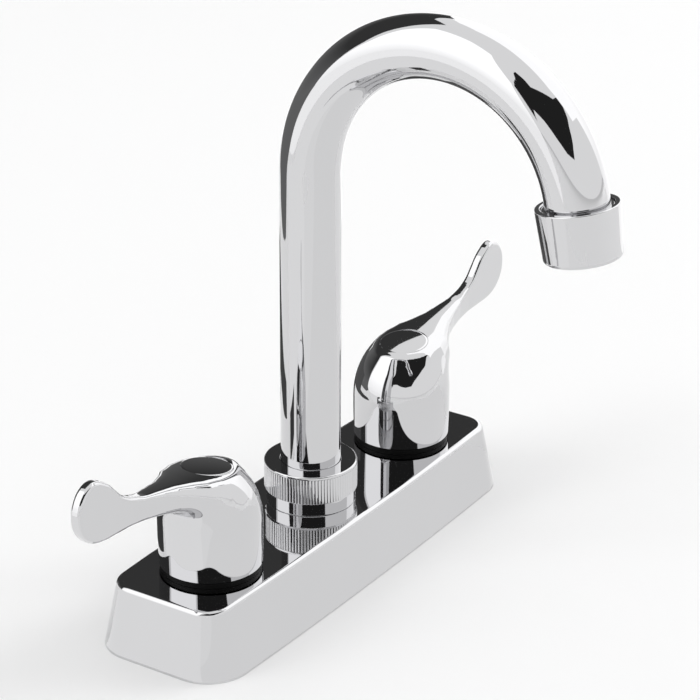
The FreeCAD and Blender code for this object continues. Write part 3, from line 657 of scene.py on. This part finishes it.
def knurl_tree():
    """Round ribs set in a ring, joined to the nut that they stand on."""
    group, tree, given = geometry_tree("Knurled Band", {
        "Ribs": (WHOLE, 60), "Band Radius": (NUMBER, 0.0134), "Rib Radius": (NUMBER, 0.0005),
        "Rib Sides": (WHOLE, 20), "Band Foot": (NUMBER, 0.024), "Band Height": (NUMBER, 0.008),
        "Material": (FINISH, None)})
    ring = tree.node("GeometryNodeMeshCircle", None,
                     {"Vertices": given["Ribs"], "Radius": given["Band Radius"]})
    middle = given["Band Foot"] + given["Band Height"] / 2.0
    raised = tree.node("GeometryNodeTransform", None,
                       {"Geometry": ring, "Translation": tree.vector(0.0, 0.0, middle)})
    rib = tree.node("GeometryNodeMeshCylinder", None,
                    {"Vertices": given["Rib Sides"], "Radius": given["Rib Radius"],
                     "Depth": given["Band Height"]})
    ribs = tree.node("GeometryNodeInstanceOnPoints", None, {"Points": raised, "Instance": rib})
    close_tree(tree, join(tree, given["Geometry"], ribs), given)
    return group


def thread_tree():
    """A round-crested screw thread wound on a shank."""
    group, tree, given = geometry_tree("Screw Thread", {
        "Crest Radius": (NUMBER, 0.01045), "Crest Round": (NUMBER, 0.0007),
        "Crest Sides": (WHOLE, 6), "Thread Foot": (NUMBER, -0.041),
        "Thread Height": (NUMBER, 0.01), "Turns": (NUMBER, 5.0), "Turn Steps": (WHOLE, 40),
        "Material": (FINISH, None)})
    middle = given["Crest Radius"] - given["Crest Round"]
    wound = tree.node("GeometryNodeCurveSpiral", None,
                      {"Resolution": given["Turn Steps"], "Rotations": given["Turns"],
                       "Start Radius": middle, "End Radius": middle,
                       "Height": given["Thread Height"]})
    crest = tree.node("GeometryNodeCurvePrimitiveCircle", None,
                      {"Resolution": given["Crest Sides"], "Radius": given["Crest Round"]})
    swept = tree.node("GeometryNodeCurveToMesh", None,
                      {"Curve": wound, "Profile Curve": crest, "Fill Caps": True})
    foot = tree.vector(0.0, 0.0, given["Thread Foot"])
    placed = tree.node("GeometryNodeTransform", None, {"Geometry": swept, "Translation": foot})
    close_tree(tree, join(tree, given["Geometry"], placed), given)
    return group


def outlet_matrix(sizes):
    """From a turned piece's own Z axis to the spout's outlet."""
    turn = sizes.bend_angle
    spot = Vector((0, sizes.bend_radius * (math.cos(turn) - 1),
                   sizes.riser_top + sizes.bend_radius * math.sin(turn)))
    return Matrix.Translation(spot) @ Matrix.Rotation(turn - math.pi, 4, "X")


def cap_matrix(sizes):
    """From the cap's own level to its tilted place on a handle that stands on the Z axis."""
    spot = Vector((CAP_OFFSET * MM, 0, TOP_HEIGHT * MM))
    return Matrix.Translation(spot) @ Matrix.Rotation(-sizes.cap_tilt, 4, "Y")


def valve_matrix(side):
    """From a piece drawn about the Z axis to the right or the left valve."""
    if side == "right":
        return Matrix.Translation((valve_x, 0, 0))
    return Matrix.Translation((-valve_x, 0, 0)) @ Matrix.Rotation(math.pi, 4, "Z")


def smooth_curve(points, steps):
    """A closed, smooth curve through points, with a few steps between each two."""
    points = np.array(points, float)
    count = len(points)
    curve = []
    for index in range(count):
        a, b, c, d = (points[(index + shift) % count] for shift in (-1, 0, 1, 2))
        for step in range(steps):
            t = step / steps
            curve.append(0.5 * (2 * b + (c - a) * t + (2 * a - 5 * b + 4 * c - d) * t ** 2
                                + (3 * b - a - 3 * c + d) * t ** 3))
    return np.array(curve)


def side_distance(spots, outline):
    """Signed distance of (x, z) spots from a closed outline, below zero inside."""
    best = np.full(len(spots), 1e9)
    inside = np.zeros(len(spots), bool)
    for start, end in zip(outline, np.roll(outline, -1, axis=0)):
        run = end - start
        offset = spots - start
        share = np.clip(offset @ run / (run @ run), 0, 1)
        gap = offset - share[:, None] * run
        best = np.minimum(best, (gap ** 2).sum(axis=1))
        crosses = (start[1] > spots[:, 1]) != (end[1] > spots[:, 1])
        if abs(run[1]) > 1e-12:
            inside ^= crosses & (spots[:, 0] < start[0] + run[0] * (spots[:, 1] - start[1]) / run[1])
    distance = np.sqrt(best)
    return np.where(inside, -distance, distance)


def soft_min(first, second, blend):
    """The lesser of two fields, run softly into each other over a blend in millimetres."""
    share = np.clip(blend - np.abs(first - second), 0, None) / blend
    return np.minimum(first, second) - share ** 2 * blend / 4


class HandleForm:
    """A handle's skin in millimetres, as a field that is zero on it and below zero inside."""

    def __init__(self, sizes):
        self.outline = smooth_curve(LEVER_SIDE, 4)
        self.tilt = math.tan(sizes.cap_tilt)

    def dome(self, spots):
        """A skirt and a dome whose shoulder is round at the back and fuller under the lever."""
        radius = np.hypot(spots[:, 0], spots[:, 1])
        height = spots[:, 2] - DOME_FOOT
        skirt = radius - (SKIRT_RADIUS - SKIRT_TAPER * (height / SKIRT_HEIGHT) ** 2)
        facing = spots[:, 0] / (radius + 2)
        toward = np.clip((facing + SHOULDER_TURN) / (2 * SHOULDER_TURN), 0, 1)
        power = 2 + SHOULDER_FULLNESS * toward ** 2 * (3 - 2 * toward)
        reach, rise = radius / SKIRT_RADIUS, np.maximum(height, 0) / DOME_RISE
        bulge = ((reach ** power + rise ** power) ** (1 / power) - 1) * SKIRT_RADIUS
        return np.where(height < 0, skirt, bulge)

    def lever(self, spots):
        """The side view with its width and its edge round at each reach."""
        half = np.interp(spots[:, 0], LEVER_REACH, LEVER_HALF_WIDTH)
        edge = np.interp(spots[:, 0], LEVER_REACH, LEVER_EDGE_ROUND)
        lifted = np.stack([spots[:, 0], spots[:, 2] + spots[:, 1] ** 2 / CROWN], axis=1)
        side = side_distance(lifted, self.outline) + edge
        across = np.abs(spots[:, 1]) - half + edge
        corner = np.hypot(np.maximum(side, 0), np.maximum(across, 0))
        return corner + np.minimum(np.maximum(side, across), 0) - edge

    def level(self, spots):
        """How far a spot stands over the tilted, slightly crowned top that the cap lies in."""
        reach = spots[:, 0]
        bend = TIP_LIFT * np.clip(reach - TIP_START, 0, None) ** 2
        plane = TOP_HEIGHT + self.tilt * (reach - CAP_OFFSET) + bend
        return spots[:, 2] - plane + spots[:, 1] ** 2 / CROWN

    def __call__(self, spots):
        body = soft_min(self.dome(spots), self.lever(spots), ROOT_BLEND)
        return -soft_min(-body, -self.level(spots), TOP_EDGE_BLEND)

    def slope(self, spots, step=0.02):
        """The direction in which the field grows."""
        columns = []
        for axis in range(3):
            shift = np.zeros(3)
            shift[axis] = step
            columns.append((self(spots + shift) - self(spots - shift)) / (2 * step))
        return np.stack(columns, axis=1)

    def pull(self, spots, rounds=3, longest=1.5, flattest=0.05):
        """Moves spots straight onto the skin, by steps no longer than longest."""
        for _ in range(rounds):
            slope = self.slope(spots)
            size = np.maximum((slope ** 2).sum(axis=1), flattest)
            spots = spots - slope * (np.clip(self(spots), -longest, longest) / size)[:, None]
        return spots


def field_skin(form, low, high, step):
    """Points and quads on the zero skin of a field that is the same on both sides of the XZ plane.

    One point lies in each grid cell that the skin crosses, at the mean of its edges' crossings.
    """
    half = step * (np.arange(math.ceil(high[1] / step)) + 0.5)
    axes = [np.arange(low[0], high[0], step), half, np.arange(low[2], high[2], step)]
    grid = np.stack(np.meshgrid(*axes, indexing="ij"), axis=-1)
    right = form(grid.reshape(-1, 3)).reshape(grid.shape[:3])
    field = np.concatenate([right[:, ::-1], right], axis=1)
    origin = np.array([low[0], -half[-1], low[2]])
    cells = np.array(field.shape) - 1
    total, count, quads = np.zeros((cells.prod(), 3)), np.zeros(cells.prod()), []
    for axis in range(3):
        ahead = np.roll(field, -1, axis=axis)
        changes = (field < 0) != (ahead < 0)
        spots = np.argwhere(changes)
        side, other = (axis + 1) % 3, (axis + 2) % 3
        inner = (spots[:, axis] < cells[axis]) & (spots.min(axis=1) > 0) & (spots < cells).all(axis=1)
        spots = spots[inner]
        here, there = field[tuple(spots.T)], ahead[tuple(spots.T)]
        points = spots.astype(float)
        points[:, axis] += here / (here - there)
        points = origin + step * points
        around = []
        for shift, lift in ((-1, -1), (0, -1), (0, 0), (-1, 0)):
            cell = spots.copy()
            cell[:, side] += shift
            cell[:, other] += lift
            around.append(np.ravel_multi_index(cell.T, cells))
            np.add.at(total, around[-1], points)
            np.add.at(count, around[-1], 1)
        quad = np.stack(around, axis=1)
        quads.append(np.where((here < 0)[:, None], quad, quad[:, ::-1]))
    used = count > 0
    number = np.cumsum(used) - 1
    return total[used] / count[used][:, None], number[np.concatenate(quads)]


def handle_skin(form):
    """The closed skin of a handle about the Z axis, lever towards +X, in metres."""
    points, quads = field_skin(form, HANDLE_LOW, HANDLE_HIGH, HANDLE_STEP)
    skin = bpy.data.meshes.new("handle_skin")
    skin.from_pydata(form.pull(points).tolist(), [], quads.tolist())
    mesh = bmesh.new()
    mesh.from_mesh(skin)
    bmesh.ops.bisect_plane(mesh, geom=mesh.verts[:] + mesh.edges[:] + mesh.faces[:],
                           plane_co=(0, 0, handle_foot), plane_no=(0, 0, -1), clear_outer=True)
    rim = [edge for edge in mesh.edges if edge.is_boundary]
    bmesh.ops.triangle_fill(mesh, edges=rim, use_beauty=True)
    bmesh.ops.triangulate(mesh, faces=mesh.faces)
    bmesh.ops.recalc_face_normals(mesh, faces=mesh.faces)
    mesh.to_mesh(skin)
    mesh.free()
    skin.transform(Matrix.Scale(MM, 4))
    skin.materials.append(material("chrome"))
    return skin


def cut(piece, *tools):
    """Takes the volume of closed tools, which stand clear of each other, out of a piece."""
    joined = bmesh.new()
    for tool in tools:
        joined.from_mesh(tool.data)
    cutter = put("cutter", bpy.data.meshes.new("cutter"))
    joined.to_mesh(cutter.data)
    joined.free()
    modifier = piece.modifiers.new("cut", "BOOLEAN")
    modifier.operation = "DIFFERENCE"
    modifier.solver = "EXACT"
    modifier.object = cutter
    bake(piece, modifier)
    for tool in (cutter, *tools):
        bpy.data.objects.remove(tool)


def skin_normals(piece, form):
    """Gives the corners on the handle's skin the field's own normals, for clean reflections."""
    nearest, most_turn = 0.03, 0.8
    data = piece.data
    points = np.array([vertex.co for vertex in data.vertices], float) / MM
    slope = form.slope(points)
    slope /= np.maximum(np.linalg.norm(slope, axis=1), 1e-9)[:, None]
    on_skin = np.abs(form(points)) < nearest
    normals = []
    for polygon in data.polygons:
        flat = np.array(polygon.normal)
        for loop in polygon.loop_indices:
            vertex = data.loops[loop].vertex_index
            follows = on_skin[vertex] and flat @ slope[vertex] > most_turn
            normals.append(tuple(slope[vertex] if follows else flat))
    data.shade_smooth()
    data.normals_split_custom_set(normals)


def build_handles(sizes):
    """The two handles: the skin with its hollow skirt, its hub's bore and the cap's seat cut out."""
    form = HandleForm(sizes)
    piece = put("right_handle_casting", handle_skin(form))
    below = handle_foot - 3
    skirt_inside, hub_outside, shoulder = 12.9, 7.0, (10.6, 41.0)
    bore_radius, bore_top = 4.6, 33.0
    seat_radius, seat_depth, seat_above = 7.52, 1.52, 3.1
    hollow = turned("hollow", [shoulder, (skirt_inside, 36.0), (skirt_inside, below),
                               (hub_outside, below), (hub_outside, 38.0)], "chrome", 64)
    bore = turned("bore", [(AXIS, bore_top), (bore_radius, bore_top),
                           (bore_radius, below), (AXIS, below)], "chrome", 40)
    seat = turned("seat", [(AXIS, seat_above), (seat_radius, seat_above),
                           (seat_radius, -seat_depth), (AXIS, -seat_depth)], "chrome", 120)
    for tool in (hollow, bore, seat):
        tidy(tool, 30, True)
    place(seat, cap_matrix(sizes))
    cut(piece, seat, hollow, bore)
    skin_normals(piece, form)
    left = put("left_handle_casting", piece.data.copy())
    for side, handle in (("right", piece), ("left", left)):
        place(handle, valve_matrix(side))
        attach(handle, side + "_lever", side + "_handle")


def build_caps(sizes):
    """The plain index caps, with a slight crown and a broken edge."""
    radius, steps = sizes.cap_radius / MM, 12
    foot, side_top, middle, crown, edge_break = -1.45, -0.23, 0.02, 0.2, 0.05
    edge = radius - edge_break
    top = [(edge * step / steps, middle - crown * (step / steps) ** 2) for step in range(steps, 0, -1)]
    profile = [(AXIS, foot), (radius, foot), (radius, side_top)] + top + [(AXIS, middle)]
    for side in ("left", "right"):
        cap = tidy(turned(side + "_cap", profile, "chrome_cap", 128), 50, True)
        place(cap, valve_matrix(side) @ cap_matrix(sizes))
        attach(cap, side + "_lever", side + "_index_cap")


def build_seat_rings():
    """The black rings that the handles stand over."""
    inner, outer = 11.3, (ring_high.x - ring_low.x) / 2 / MM
    foot, top = ring_low.z / MM, ring_high.z / MM
    profile = rounded([(inner, foot, 0), (outer, foot, 0.15), (outer, top, 0.35), (inner, top, 0)])
    for side in ("left", "right"):
        ring = tidy(turned(side + "_seat_gasket_ring", profile, "black_plastic", 96), 40, True)
        place(ring, valve_matrix(side))
        attach(ring, "mixer_body", side + "_seat_ring")


def build_spout(sizes):
    """The hollow gooseneck tube."""
    piece = new_piece("gooseneck_tube", [], [], "chrome")
    grow(piece, spout_path_tree(), {
        "Foot Height": tube_low.z, "Riser Top": sizes.riser_top, "Bend Radius": sizes.bend_radius,
        "Bend Angle": sizes.bend_angle, "Outlet Run": sizes.outlet_run,
        "Tube Radius": sizes.tube_radius, "Material": material("chrome")})
    mesh = bmesh.new()
    mesh.from_mesh(piece.data)
    bmesh.ops.recalc_face_normals(mesh, faces=mesh.faces)
    mesh.to_mesh(piece.data)
    mesh.free()
    first = piece.data.polygons[0]
    if first.normal.dot(first.center - Vector((0, 0, tube_low.z))) < 0:
        piece.data.flip_normals()
    wall = piece.modifiers.new("wall", "SOLIDIFY")
    wall.thickness = sizes.tube_wall
    wall.offset = -1
    bake(piece, wall)
    tidy(piece, 50)
    attach(piece, "spout", "spout_tube")


def build_collar(sizes):
    """The collar nut: smooth neck, ribbed band, plain rim and bored roof."""
    foot, top = collar_low.z / MM, collar_high.z / MM
    outer = (collar_high.x - collar_low.x) / 2 / MM
    rim_foot = top - sizes.rim_height / MM
    band_foot = rim_foot - sizes.knurl_height / MM
    neck, bore, thread = outer - 0.6, sizes.tube_radius / MM + 0.08, 11.3
    roof, rib_depth, rib_radius = top - 2.2, 0.15, 0.6
    groove, band_ramp, rib_lift, rib_loss = outer - rib_depth, 0.3, 0.35, 0.4
    profile = rounded([(thread, foot, 0), (neck, foot, 0.2), (neck, band_foot, 0.15),
                       (groove, band_foot + band_ramp, 0.1), (groove, rim_foot, 0.05),
                       (outer, rim_foot, 0.12), (outer, top, 0.5), (bore, top, 0.25),
                       (bore, roof, 0), (thread, roof, 0)])
    piece = tidy(turned("collar_nut_body", profile, "chrome", 180), 40, True)
    grow(piece, knurl_tree(), {
        "Ribs": sizes.knurl_count, "Band Radius": (outer - rib_radius) * MM,
        "Rib Radius": rib_radius * MM, "Band Foot": (band_foot + rib_lift) * MM,
        "Band Height": sizes.knurl_height - rib_loss * MM, "Material": material("chrome")})
    tidy(piece, 40)
    attach(piece, "mixer_body", "collar_nut")


def build_outlet(sizes):
    """The aerator's housing and the nipple that it screws on."""
    depth, top_radius, foot_radius = 15.1, 11.7, 10.8
    bore, ledge, lip = 10.1, -9.6, 9.0
    housing = rounded([(foot_radius, -depth, 1.2), (top_radius, 0, 0.35), (bore, 0, 0.2),
                       (bore, ledge, 0), (lip, ledge, 0), (lip, -depth, 0.3)])
    tube, thread, nipple_foot, nipple_top = sizes.tube_radius / MM + 0.04, 10.0, -6.5, -0.5
    nipple = rounded([(tube, nipple_foot, 0), (thread, nipple_foot, 0),
                      (thread, nipple_top, 0.3), (tube, nipple_top, 0)])
    for name, profile, segments, node in (
            ("aerator_shell", housing, 128, "aerator_housing"),
            ("outlet_nipple_ring", nipple, 96, "outlet_nipple")):
        piece = tidy(turned(name, profile, "chrome", segments), 40, True)
        place(piece, outlet_matrix(sizes))
        attach(piece, "spout", node)


def build_shanks(sizes):
    """The inlet shanks with their wound threads."""
    foot, top = shank_low.z / MM, shank_high.z / MM
    radius = (shank_high.x - shank_low.x) / 2 / MM
    core, neck, bore, spigot = radius - 0.9, 10.0, 5.5, 8.2
    thread_top, spigot_foot, thread_gap, crest_round = -14.0, top - 3.4, 1.0, 0.75
    profile = rounded([(bore, foot, 0.3), (core, foot, 0.5), (core, thread_top, 0),
                       (neck, thread_top, 0), (neck, 0, 0), (radius, 0, 0),
                       (radius, spigot_foot, 0), (spigot, spigot_foot, 0), (spigot, top, 0),
                       (bore, top, 0)])
    height = (thread_top - foot - 2 * thread_gap) * MM
    for side in ("left", "right"):
        shank = tidy(turned(side + "_shank_body", profile, "brass", 72), 40, True)
        grow(shank, thread_tree(), {
            "Crest Radius": radius * MM, "Crest Round": crest_round * MM,
            "Thread Foot": (foot + thread_gap) * MM, "Thread Height": height,
            "Turns": height / sizes.thread_pitch, "Material": material("brass")})
        tidy(shank, 40)
        place(shank, valve_matrix(side))
        attach(shank, "mixer_body", side + "_inlet_shank")


def dress_nodes():
    """Gives every CAD node that stays its slot's finish."""
    slots = {part["node"]: part["material_slot"] for part in frame["record"]["subparts"]}
    for name, node in frame["nodes"].items():
        if not node.material_slots:
            node.data.materials.append(material(slots[name]))
        for holder in node.material_slots:
            holder.link = "OBJECT"
            holder.material = material(slots[name])


# Where the cards stand that the chrome mirrors. In the air: their corners as (azimuth, elevation)
# in degrees, seen from MIDDLE over the mixer's origin, and how far off they stand in metres.
MIDDLE = 0.09
CARD_DISTANCE = 3.0
SOFTBOX_DISTANCE = 3.2
DARK_BEHIND = [(28, -1.6), (28, 27), (36.5, 36), (44, 44), (58, 62), (80, 58), (98, 48), (107, 36),
               (115, 24), (119, 6), (121, -1.6)]
DARK_OVER_CAMERA = [(-176, 9), (-169, 20), (-160, 21), (-150, 18), (-138, 16), (-122, 17), (-114, 23),
                    (-107, 27), (-100, 31), (-90, 36), (-76, 39), (-62, 42), (-60, 47), (-76, 49),
                    (-114, 50), (-122, 46), (-130, 43), (-136, 49), (-139, 58), (-148, 61), (-156, 56),
                    (-162, 47), (-168, 40), (-174, 30)]
LEFT_SOFTBOX = [(120, -1.6), (119, 25), (110, 45), (105, 62), (150, 72), (184, 66), (184, 30),
                (178, 10), (176, -1.6)]
RIGHT_SOFTBOX = [(-32, -1.6), (-36, 25), (-62, 34), (-58, 52), (-20, 62), (22, 58), (30, 45),
                 (29, 20), (34, -1.6)]
# On the floor round the mixer: their corners as (azimuth in degrees, distance in metres)
DARK_FLOOR = [(58, 0.62), (74, 0.31), (92, 0.27), (112, 0.27), (122, 0.45), (121, 8.0), (55, 8.0)]
LEFT_FLOOR = [(123, 0.45), (150, 0.38), (178, 0.42), (176, 8.0), (122, 8.0)]
RIGHT_FLOOR = [(-30, 0.45), (0, 0.32), (35, 0.28), (54, 0.45), (50, 8.0), (-30, 8.0)]
# On the floor close to the base: their corners as (x, y) in metres
DARK_NEAR_BACK = [(0.064, 0.038), (0.14, 0.038), (0.215, 0.14), (0.18, 0.19), (0.135, 0.25),
                  (-0.05, 0.125), (-0.045, 0.095), (-0.01, 0.106), (0.025, 0.118),
                  (0.061, 0.118), (0.092, 0.106), (0.066, 0.05)]
# Painted light: glowing cards on the floor round the base, seen only in the chrome, that hide the
# floor's shadow there in the chrome's reflection
SHADOW_HIDING_LEFT = [(-0.076, -0.016), (-0.076, 0.075), (-0.215, 0.36), (-0.415, 0.02), (-0.3, -0.06)]
SHADOW_HIDING_FRONT = [(-0.1, -0.016), (0.1, -0.016), (0.294, -0.36), (-0.294, -0.36)]
SHADOW_HIDING_CORNER = [(-0.07, -0.012), (-0.31, -0.055), (-0.3, -0.36)]
# Upright behind the base: their corners as (x, z) in metres
DARK_UPRIGHT_RIGHT = [(0.032, 0.024), (0.1, 0.024), (0.1, 0.046), (0.032, 0.046)]
DARK_UPRIGHT_LEFT = [(-0.066, 0.012), (-0.037, 0.012), (-0.037, 0.03), (-0.066, 0.03)]


def stage_card(name, corners, spots, low, high):
    """A card that only the chrome mirrors: corners give its outline, spots their places.

    Its light goes from low at the foot to high at one metre and over.
    """
    faces = tessellate_polygon([[Vector((*corner, 0)) for corner in corners]])
    card = new_mesh(name, spots, [tuple(face) for face in faces])
    glow = bpy.data.materials.new(name)
    tree = tree_of(glow)
    tree.nodes.clear()
    height = tree.parts(tree.node("ShaderNodeTexCoord", output="Object"))[2]
    share = tree.maths("MINIMUM", height, 1.0)
    light = tree.node("ShaderNodeEmission", None,
                      {"Color": (1, 1, 1, 1), "Strength": share * (high - low) + low})
    tree.node("ShaderNodeOutputMaterial", None, {0: light})
    card.data.materials.append(glow)
    for ray in ("camera", "diffuse", "shadow", "transmission"):
        setattr(card, "visible_" + ray, False)


def sky_card(name, corners, low, high, distance=CARD_DISTANCE):
    """A card in the air, its corners given as directions from the mixer's middle."""
    spots = []
    for azimuth, elevation in corners:
        turn, lift = math.radians(azimuth), math.radians(elevation)
        spots.append((distance * math.cos(turn) * math.cos(lift),
                      distance * math.sin(turn) * math.cos(lift), MIDDLE + distance * math.sin(lift)))
    stage_card(name, corners, spots, low, high)


def floor_card(name, corners, strength, height=0.001):
    """A card on the floor, its corners given as (x, y)."""
    stage_card(name, corners, [(x, y, height) for x, y in corners], strength, strength)


def upright_card(name, corners, strength, behind):
    """A small card that stands behind the base, its corners given as (x, z)."""
    stage_card(name, corners, [(x, behind, z) for x, z in corners], strength, strength)


def around(corners):
    """Places on the floor from (azimuth, distance) corners."""
    return [(reach * math.cos(math.radians(azimuth)), reach * math.sin(math.radians(azimuth)))
            for azimuth, reach in corners]


def build_floor(studio):
    """A pale, matt floor that keeps the shadow."""
    size = 12.0
    floor = new_mesh("floor", [(-size, -size, 0), (size, -size, 0), (size, size, 0),
                               (-size, size, 0)], [(0, 1, 2, 3)])
    paint = bpy.data.materials.new("floor")
    shader = tree_of(paint).nodes["Principled BSDF"]
    for key, value in (("Base Color", (*studio.floor_color, 1)), ("Roughness", 0.9),
                       ("Specular IOR Level", 0.0)):
        shader.inputs[key].default_value = value
    floor.data.materials.append(paint)


def build_world(studio):
    """White to the camera and in the chrome, and a plain fill on the object."""
    world = bpy.data.worlds.new("studio")
    bpy.context.scene.world = world
    tree = tree_of(world)
    path = tree.node("ShaderNodeLightPath").socket.node
    camera, glossy, through = (Value(tree, path.outputs[name]) for name in
                               ("Is Camera Ray", "Is Glossy Ray", "Is Transmission Ray"))
    seen = tree.maths("MAXIMUM", tree.maths("MAXIMUM", camera, glossy), through)
    strength = seen * (1.0 - studio.fill_strength) + studio.fill_strength
    background = tree.nodes["Background"]
    background.inputs["Color"].default_value = (1, 1, 1, 1)
    tree.links.new(strength.socket, background.inputs["Strength"])


def build_lamps(studio):
    """Two soft lamps, which the cards stand for in the chrome."""
    side, aim = 1.5, Vector((0, 0, 0.06))
    for name, spot, watts in (("right_lamp", Vector((1.7, -1.1, 1.7)), 20.0),
                              ("left_lamp", Vector((-1.7, 1.1, 1.7)), 15.0)):
        lamp = bpy.data.lights.new(name, "AREA")
        lamp.shape = "SQUARE"
        lamp.size = side
        lamp.energy = watts * studio.lamp_strength
        holder = put(name, lamp)
        holder.location = spot
        holder.rotation_mode = "QUATERNION"
        holder.rotation_quaternion = (aim - spot).to_track_quat("-Z", "Y")
        holder.visible_glossy = False


def build_cards():
    """The studio that the chrome mirrors: softboxes, a pale floor and the dark gaps between, and round
    the base glowing cards of painted light that hide the floor's shadow in the chrome's reflection.
    """
    sky_card("dark_behind_card", DARK_BEHIND, 0.17, 0.045)
    sky_card("dark_over_camera_card", DARK_OVER_CAMERA, 0.04, 0.02)
    sky_card("left_softbox_card", LEFT_SOFTBOX, 1.3, 1.6, SOFTBOX_DISTANCE)
    sky_card("right_softbox_card", RIGHT_SOFTBOX, 1.25, 1.5, SOFTBOX_DISTANCE)
    floor_card("dark_floor_card", around(DARK_FLOOR), 0.16, 0.002)
    floor_card("left_floor_card", around(LEFT_FLOOR), 1.25)
    floor_card("right_floor_card", around(RIGHT_FLOOR), 1.3)
    floor_card("dark_near_back_card", DARK_NEAR_BACK, 0.07, 0.0015)
    upright_card("dark_upright_right_card", DARK_UPRIGHT_RIGHT, 0.1, 0.05)
    upright_card("dark_upright_left_card", DARK_UPRIGHT_LEFT, 0.05, 0.036)
    # Painted light: these glowing cards cover the floor's shadow round the base in the chrome's
    # reflection
    floor_card("shadow_hiding_left_card", SHADOW_HIDING_LEFT, 1.02, 0.0006)
    floor_card("shadow_hiding_front_card", SHADOW_HIDING_FRONT, 0.93, 0.0005)
    floor_card("shadow_hiding_corner_card", SHADOW_HIDING_CORNER, 0.975, 0.0004)


def build_camera():
    """The camera at the photograph's place, which was fitted to the mixer's outlines."""
    azimuth, elevation, roll = (math.radians(angle) for angle in (-57.087, 23.901, 0.347))
    distance, focal_pixels = 0.76384, 2553.52
    target = Vector((0.021132, 0, 0.060443))
    back = Vector((math.sin(azimuth) * math.cos(elevation), -math.cos(azimuth) * math.cos(elevation),
                   math.sin(elevation)))
    right = Vector((math.cos(azimuth), math.sin(azimuth), 0))
    up = back.cross(right)
    turned_right = right * math.cos(roll) + up * math.sin(roll)
    turned_up = up * math.cos(roll) - right * math.sin(roll)
    lens = bpy.data.cameras.new("photo_camera")
    lens.sensor_width = 36.0
    lens.lens = focal_pixels / PHOTO_SIZE * lens.sensor_width
    lens.clip_start, lens.clip_end = 0.01, 50
    camera = put("photo_camera", lens)
    turn = Matrix((turned_right, turned_up, back)).transposed().to_4x4()
    camera.matrix_world = Matrix.Translation(target + back * distance) @ turn
    bpy.context.scene.camera = camera


class MIXER_OT_finishes(bpy.types.Operator):
    """Make the finishes and dress the CAD nodes that stay"""
    bl_idname = "mixer.finishes"
    bl_label = "Finishes"

    def execute(self, context):
        make_finishes(context.scene.mixer_finish)
        dress_nodes()
        return {"FINISHED"}


class MIXER_OT_base_cover(bpy.types.Operator):
    """Build the chrome base cover"""
    bl_idname = "mixer.base_cover"
    bl_label = "Base Cover"

    def execute(self, context):
        build_cover(context.scene.mixer_sizes)
        return {"FINISHED"}


class MIXER_OT_spout(bpy.types.Operator):
    """Build the gooseneck tube"""
    bl_idname = "mixer.spout"
    bl_label = "Gooseneck Tube"

    def execute(self, context):
        build_spout(context.scene.mixer_sizes)
        return {"FINISHED"}


class MIXER_OT_collar(bpy.types.Operator):
    """Build the knurled collar nut"""
    bl_idname = "mixer.collar"
    bl_label = "Collar Nut"

    def execute(self, context):
        build_collar(context.scene.mixer_sizes)
        return {"FINISHED"}


class MIXER_OT_outlet(bpy.types.Operator):
    """Build the aerator's housing and its nipple"""
    bl_idname = "mixer.outlet"
    bl_label = "Aerator"

    def execute(self, context):
        build_outlet(context.scene.mixer_sizes)
        return {"FINISHED"}


class MIXER_OT_handles(bpy.types.Operator):
    """Build the two lever handles"""
    bl_idname = "mixer.handles"
    bl_label = "Lever Handles"

    def execute(self, context):
        build_handles(context.scene.mixer_sizes)
        return {"FINISHED"}


class MIXER_OT_caps(bpy.types.Operator):
    """Build the plain index caps"""
    bl_idname = "mixer.caps"
    bl_label = "Index Caps"

    def execute(self, context):
        build_caps(context.scene.mixer_sizes)
        return {"FINISHED"}


class MIXER_OT_seat_rings(bpy.types.Operator):
    """Build the black rings under the handles"""
    bl_idname = "mixer.seat_rings"
    bl_label = "Seat Rings"

    def execute(self, context):
        build_seat_rings()
        return {"FINISHED"}


class MIXER_OT_shanks(bpy.types.Operator):
    """Build the threaded inlet shanks under the deck"""
    bl_idname = "mixer.shanks"
    bl_label = "Inlet Shanks"

    def execute(self, context):
        build_shanks(context.scene.mixer_sizes)
        return {"FINISHED"}


class MIXER_OT_stage(bpy.types.Operator):
    """Build the floor, the lamps, the cards and the camera"""
    bl_idname = "mixer.stage"
    bl_label = "Studio"

    def execute(self, context):
        studio = context.scene.mixer_studio
        build_world(studio)
        build_floor(studio)
        build_lamps(studio)
        build_cards()
        build_camera()
        context.scene.view_settings.view_transform = "Standard"
        return {"FINISHED"}


class MIXER_PT_panel(bpy.types.Panel):
    """The mixer's sizes, finishes and pieces"""
    bl_label = "Bathroom Sink Mixer"
    bl_idname = "MIXER_PT_panel"
    bl_space_type = "VIEW_3D"
    bl_region_type = "UI"
    bl_category = "Mixer"

    def draw(self, context):
        for operator in operators:
            self.layout.operator(operator.bl_idname)
        for group in (context.scene.mixer_sizes, context.scene.mixer_finish,
                      context.scene.mixer_studio):
            box = self.layout.box()
            for name in group.__annotations__:
                box.prop(group, name)


operators = [MIXER_OT_finishes, MIXER_OT_base_cover, MIXER_OT_spout, MIXER_OT_collar,
             MIXER_OT_outlet, MIXER_OT_handles, MIXER_OT_caps, MIXER_OT_seat_rings,
             MIXER_OT_shanks, MIXER_OT_stage]
groups = {"mixer_sizes": MixerSizes, "mixer_finish": MixerFinish, "mixer_studio": MixerStudio}


def register():
    """Registers the classes and hangs the settings on the scene."""
    for name, group in groups.items():
        bpy.utils.register_class(group)
        setattr(bpy.types.Scene, name, bpy.props.PointerProperty(type=group))
    for operator in operators:
        bpy.utils.register_class(operator)
    bpy.utils.register_class(MIXER_PT_panel)


def unregister():
    """Takes the classes and the settings away again."""
    bpy.utils.unregister_class(MIXER_PT_panel)
    for operator in reversed(operators):
        bpy.utils.unregister_class(operator)
    for name, group in groups.items():
        delattr(bpy.types.Scene, name)
        bpy.utils.unregister_class(group)


def main():
    """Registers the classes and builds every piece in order."""
    register()
    for operator in operators:
        family, verb = operator.bl_idname.split(".")
        getattr(getattr(bpy.ops, family), verb)()


if __name__ == "__main__":
    main()
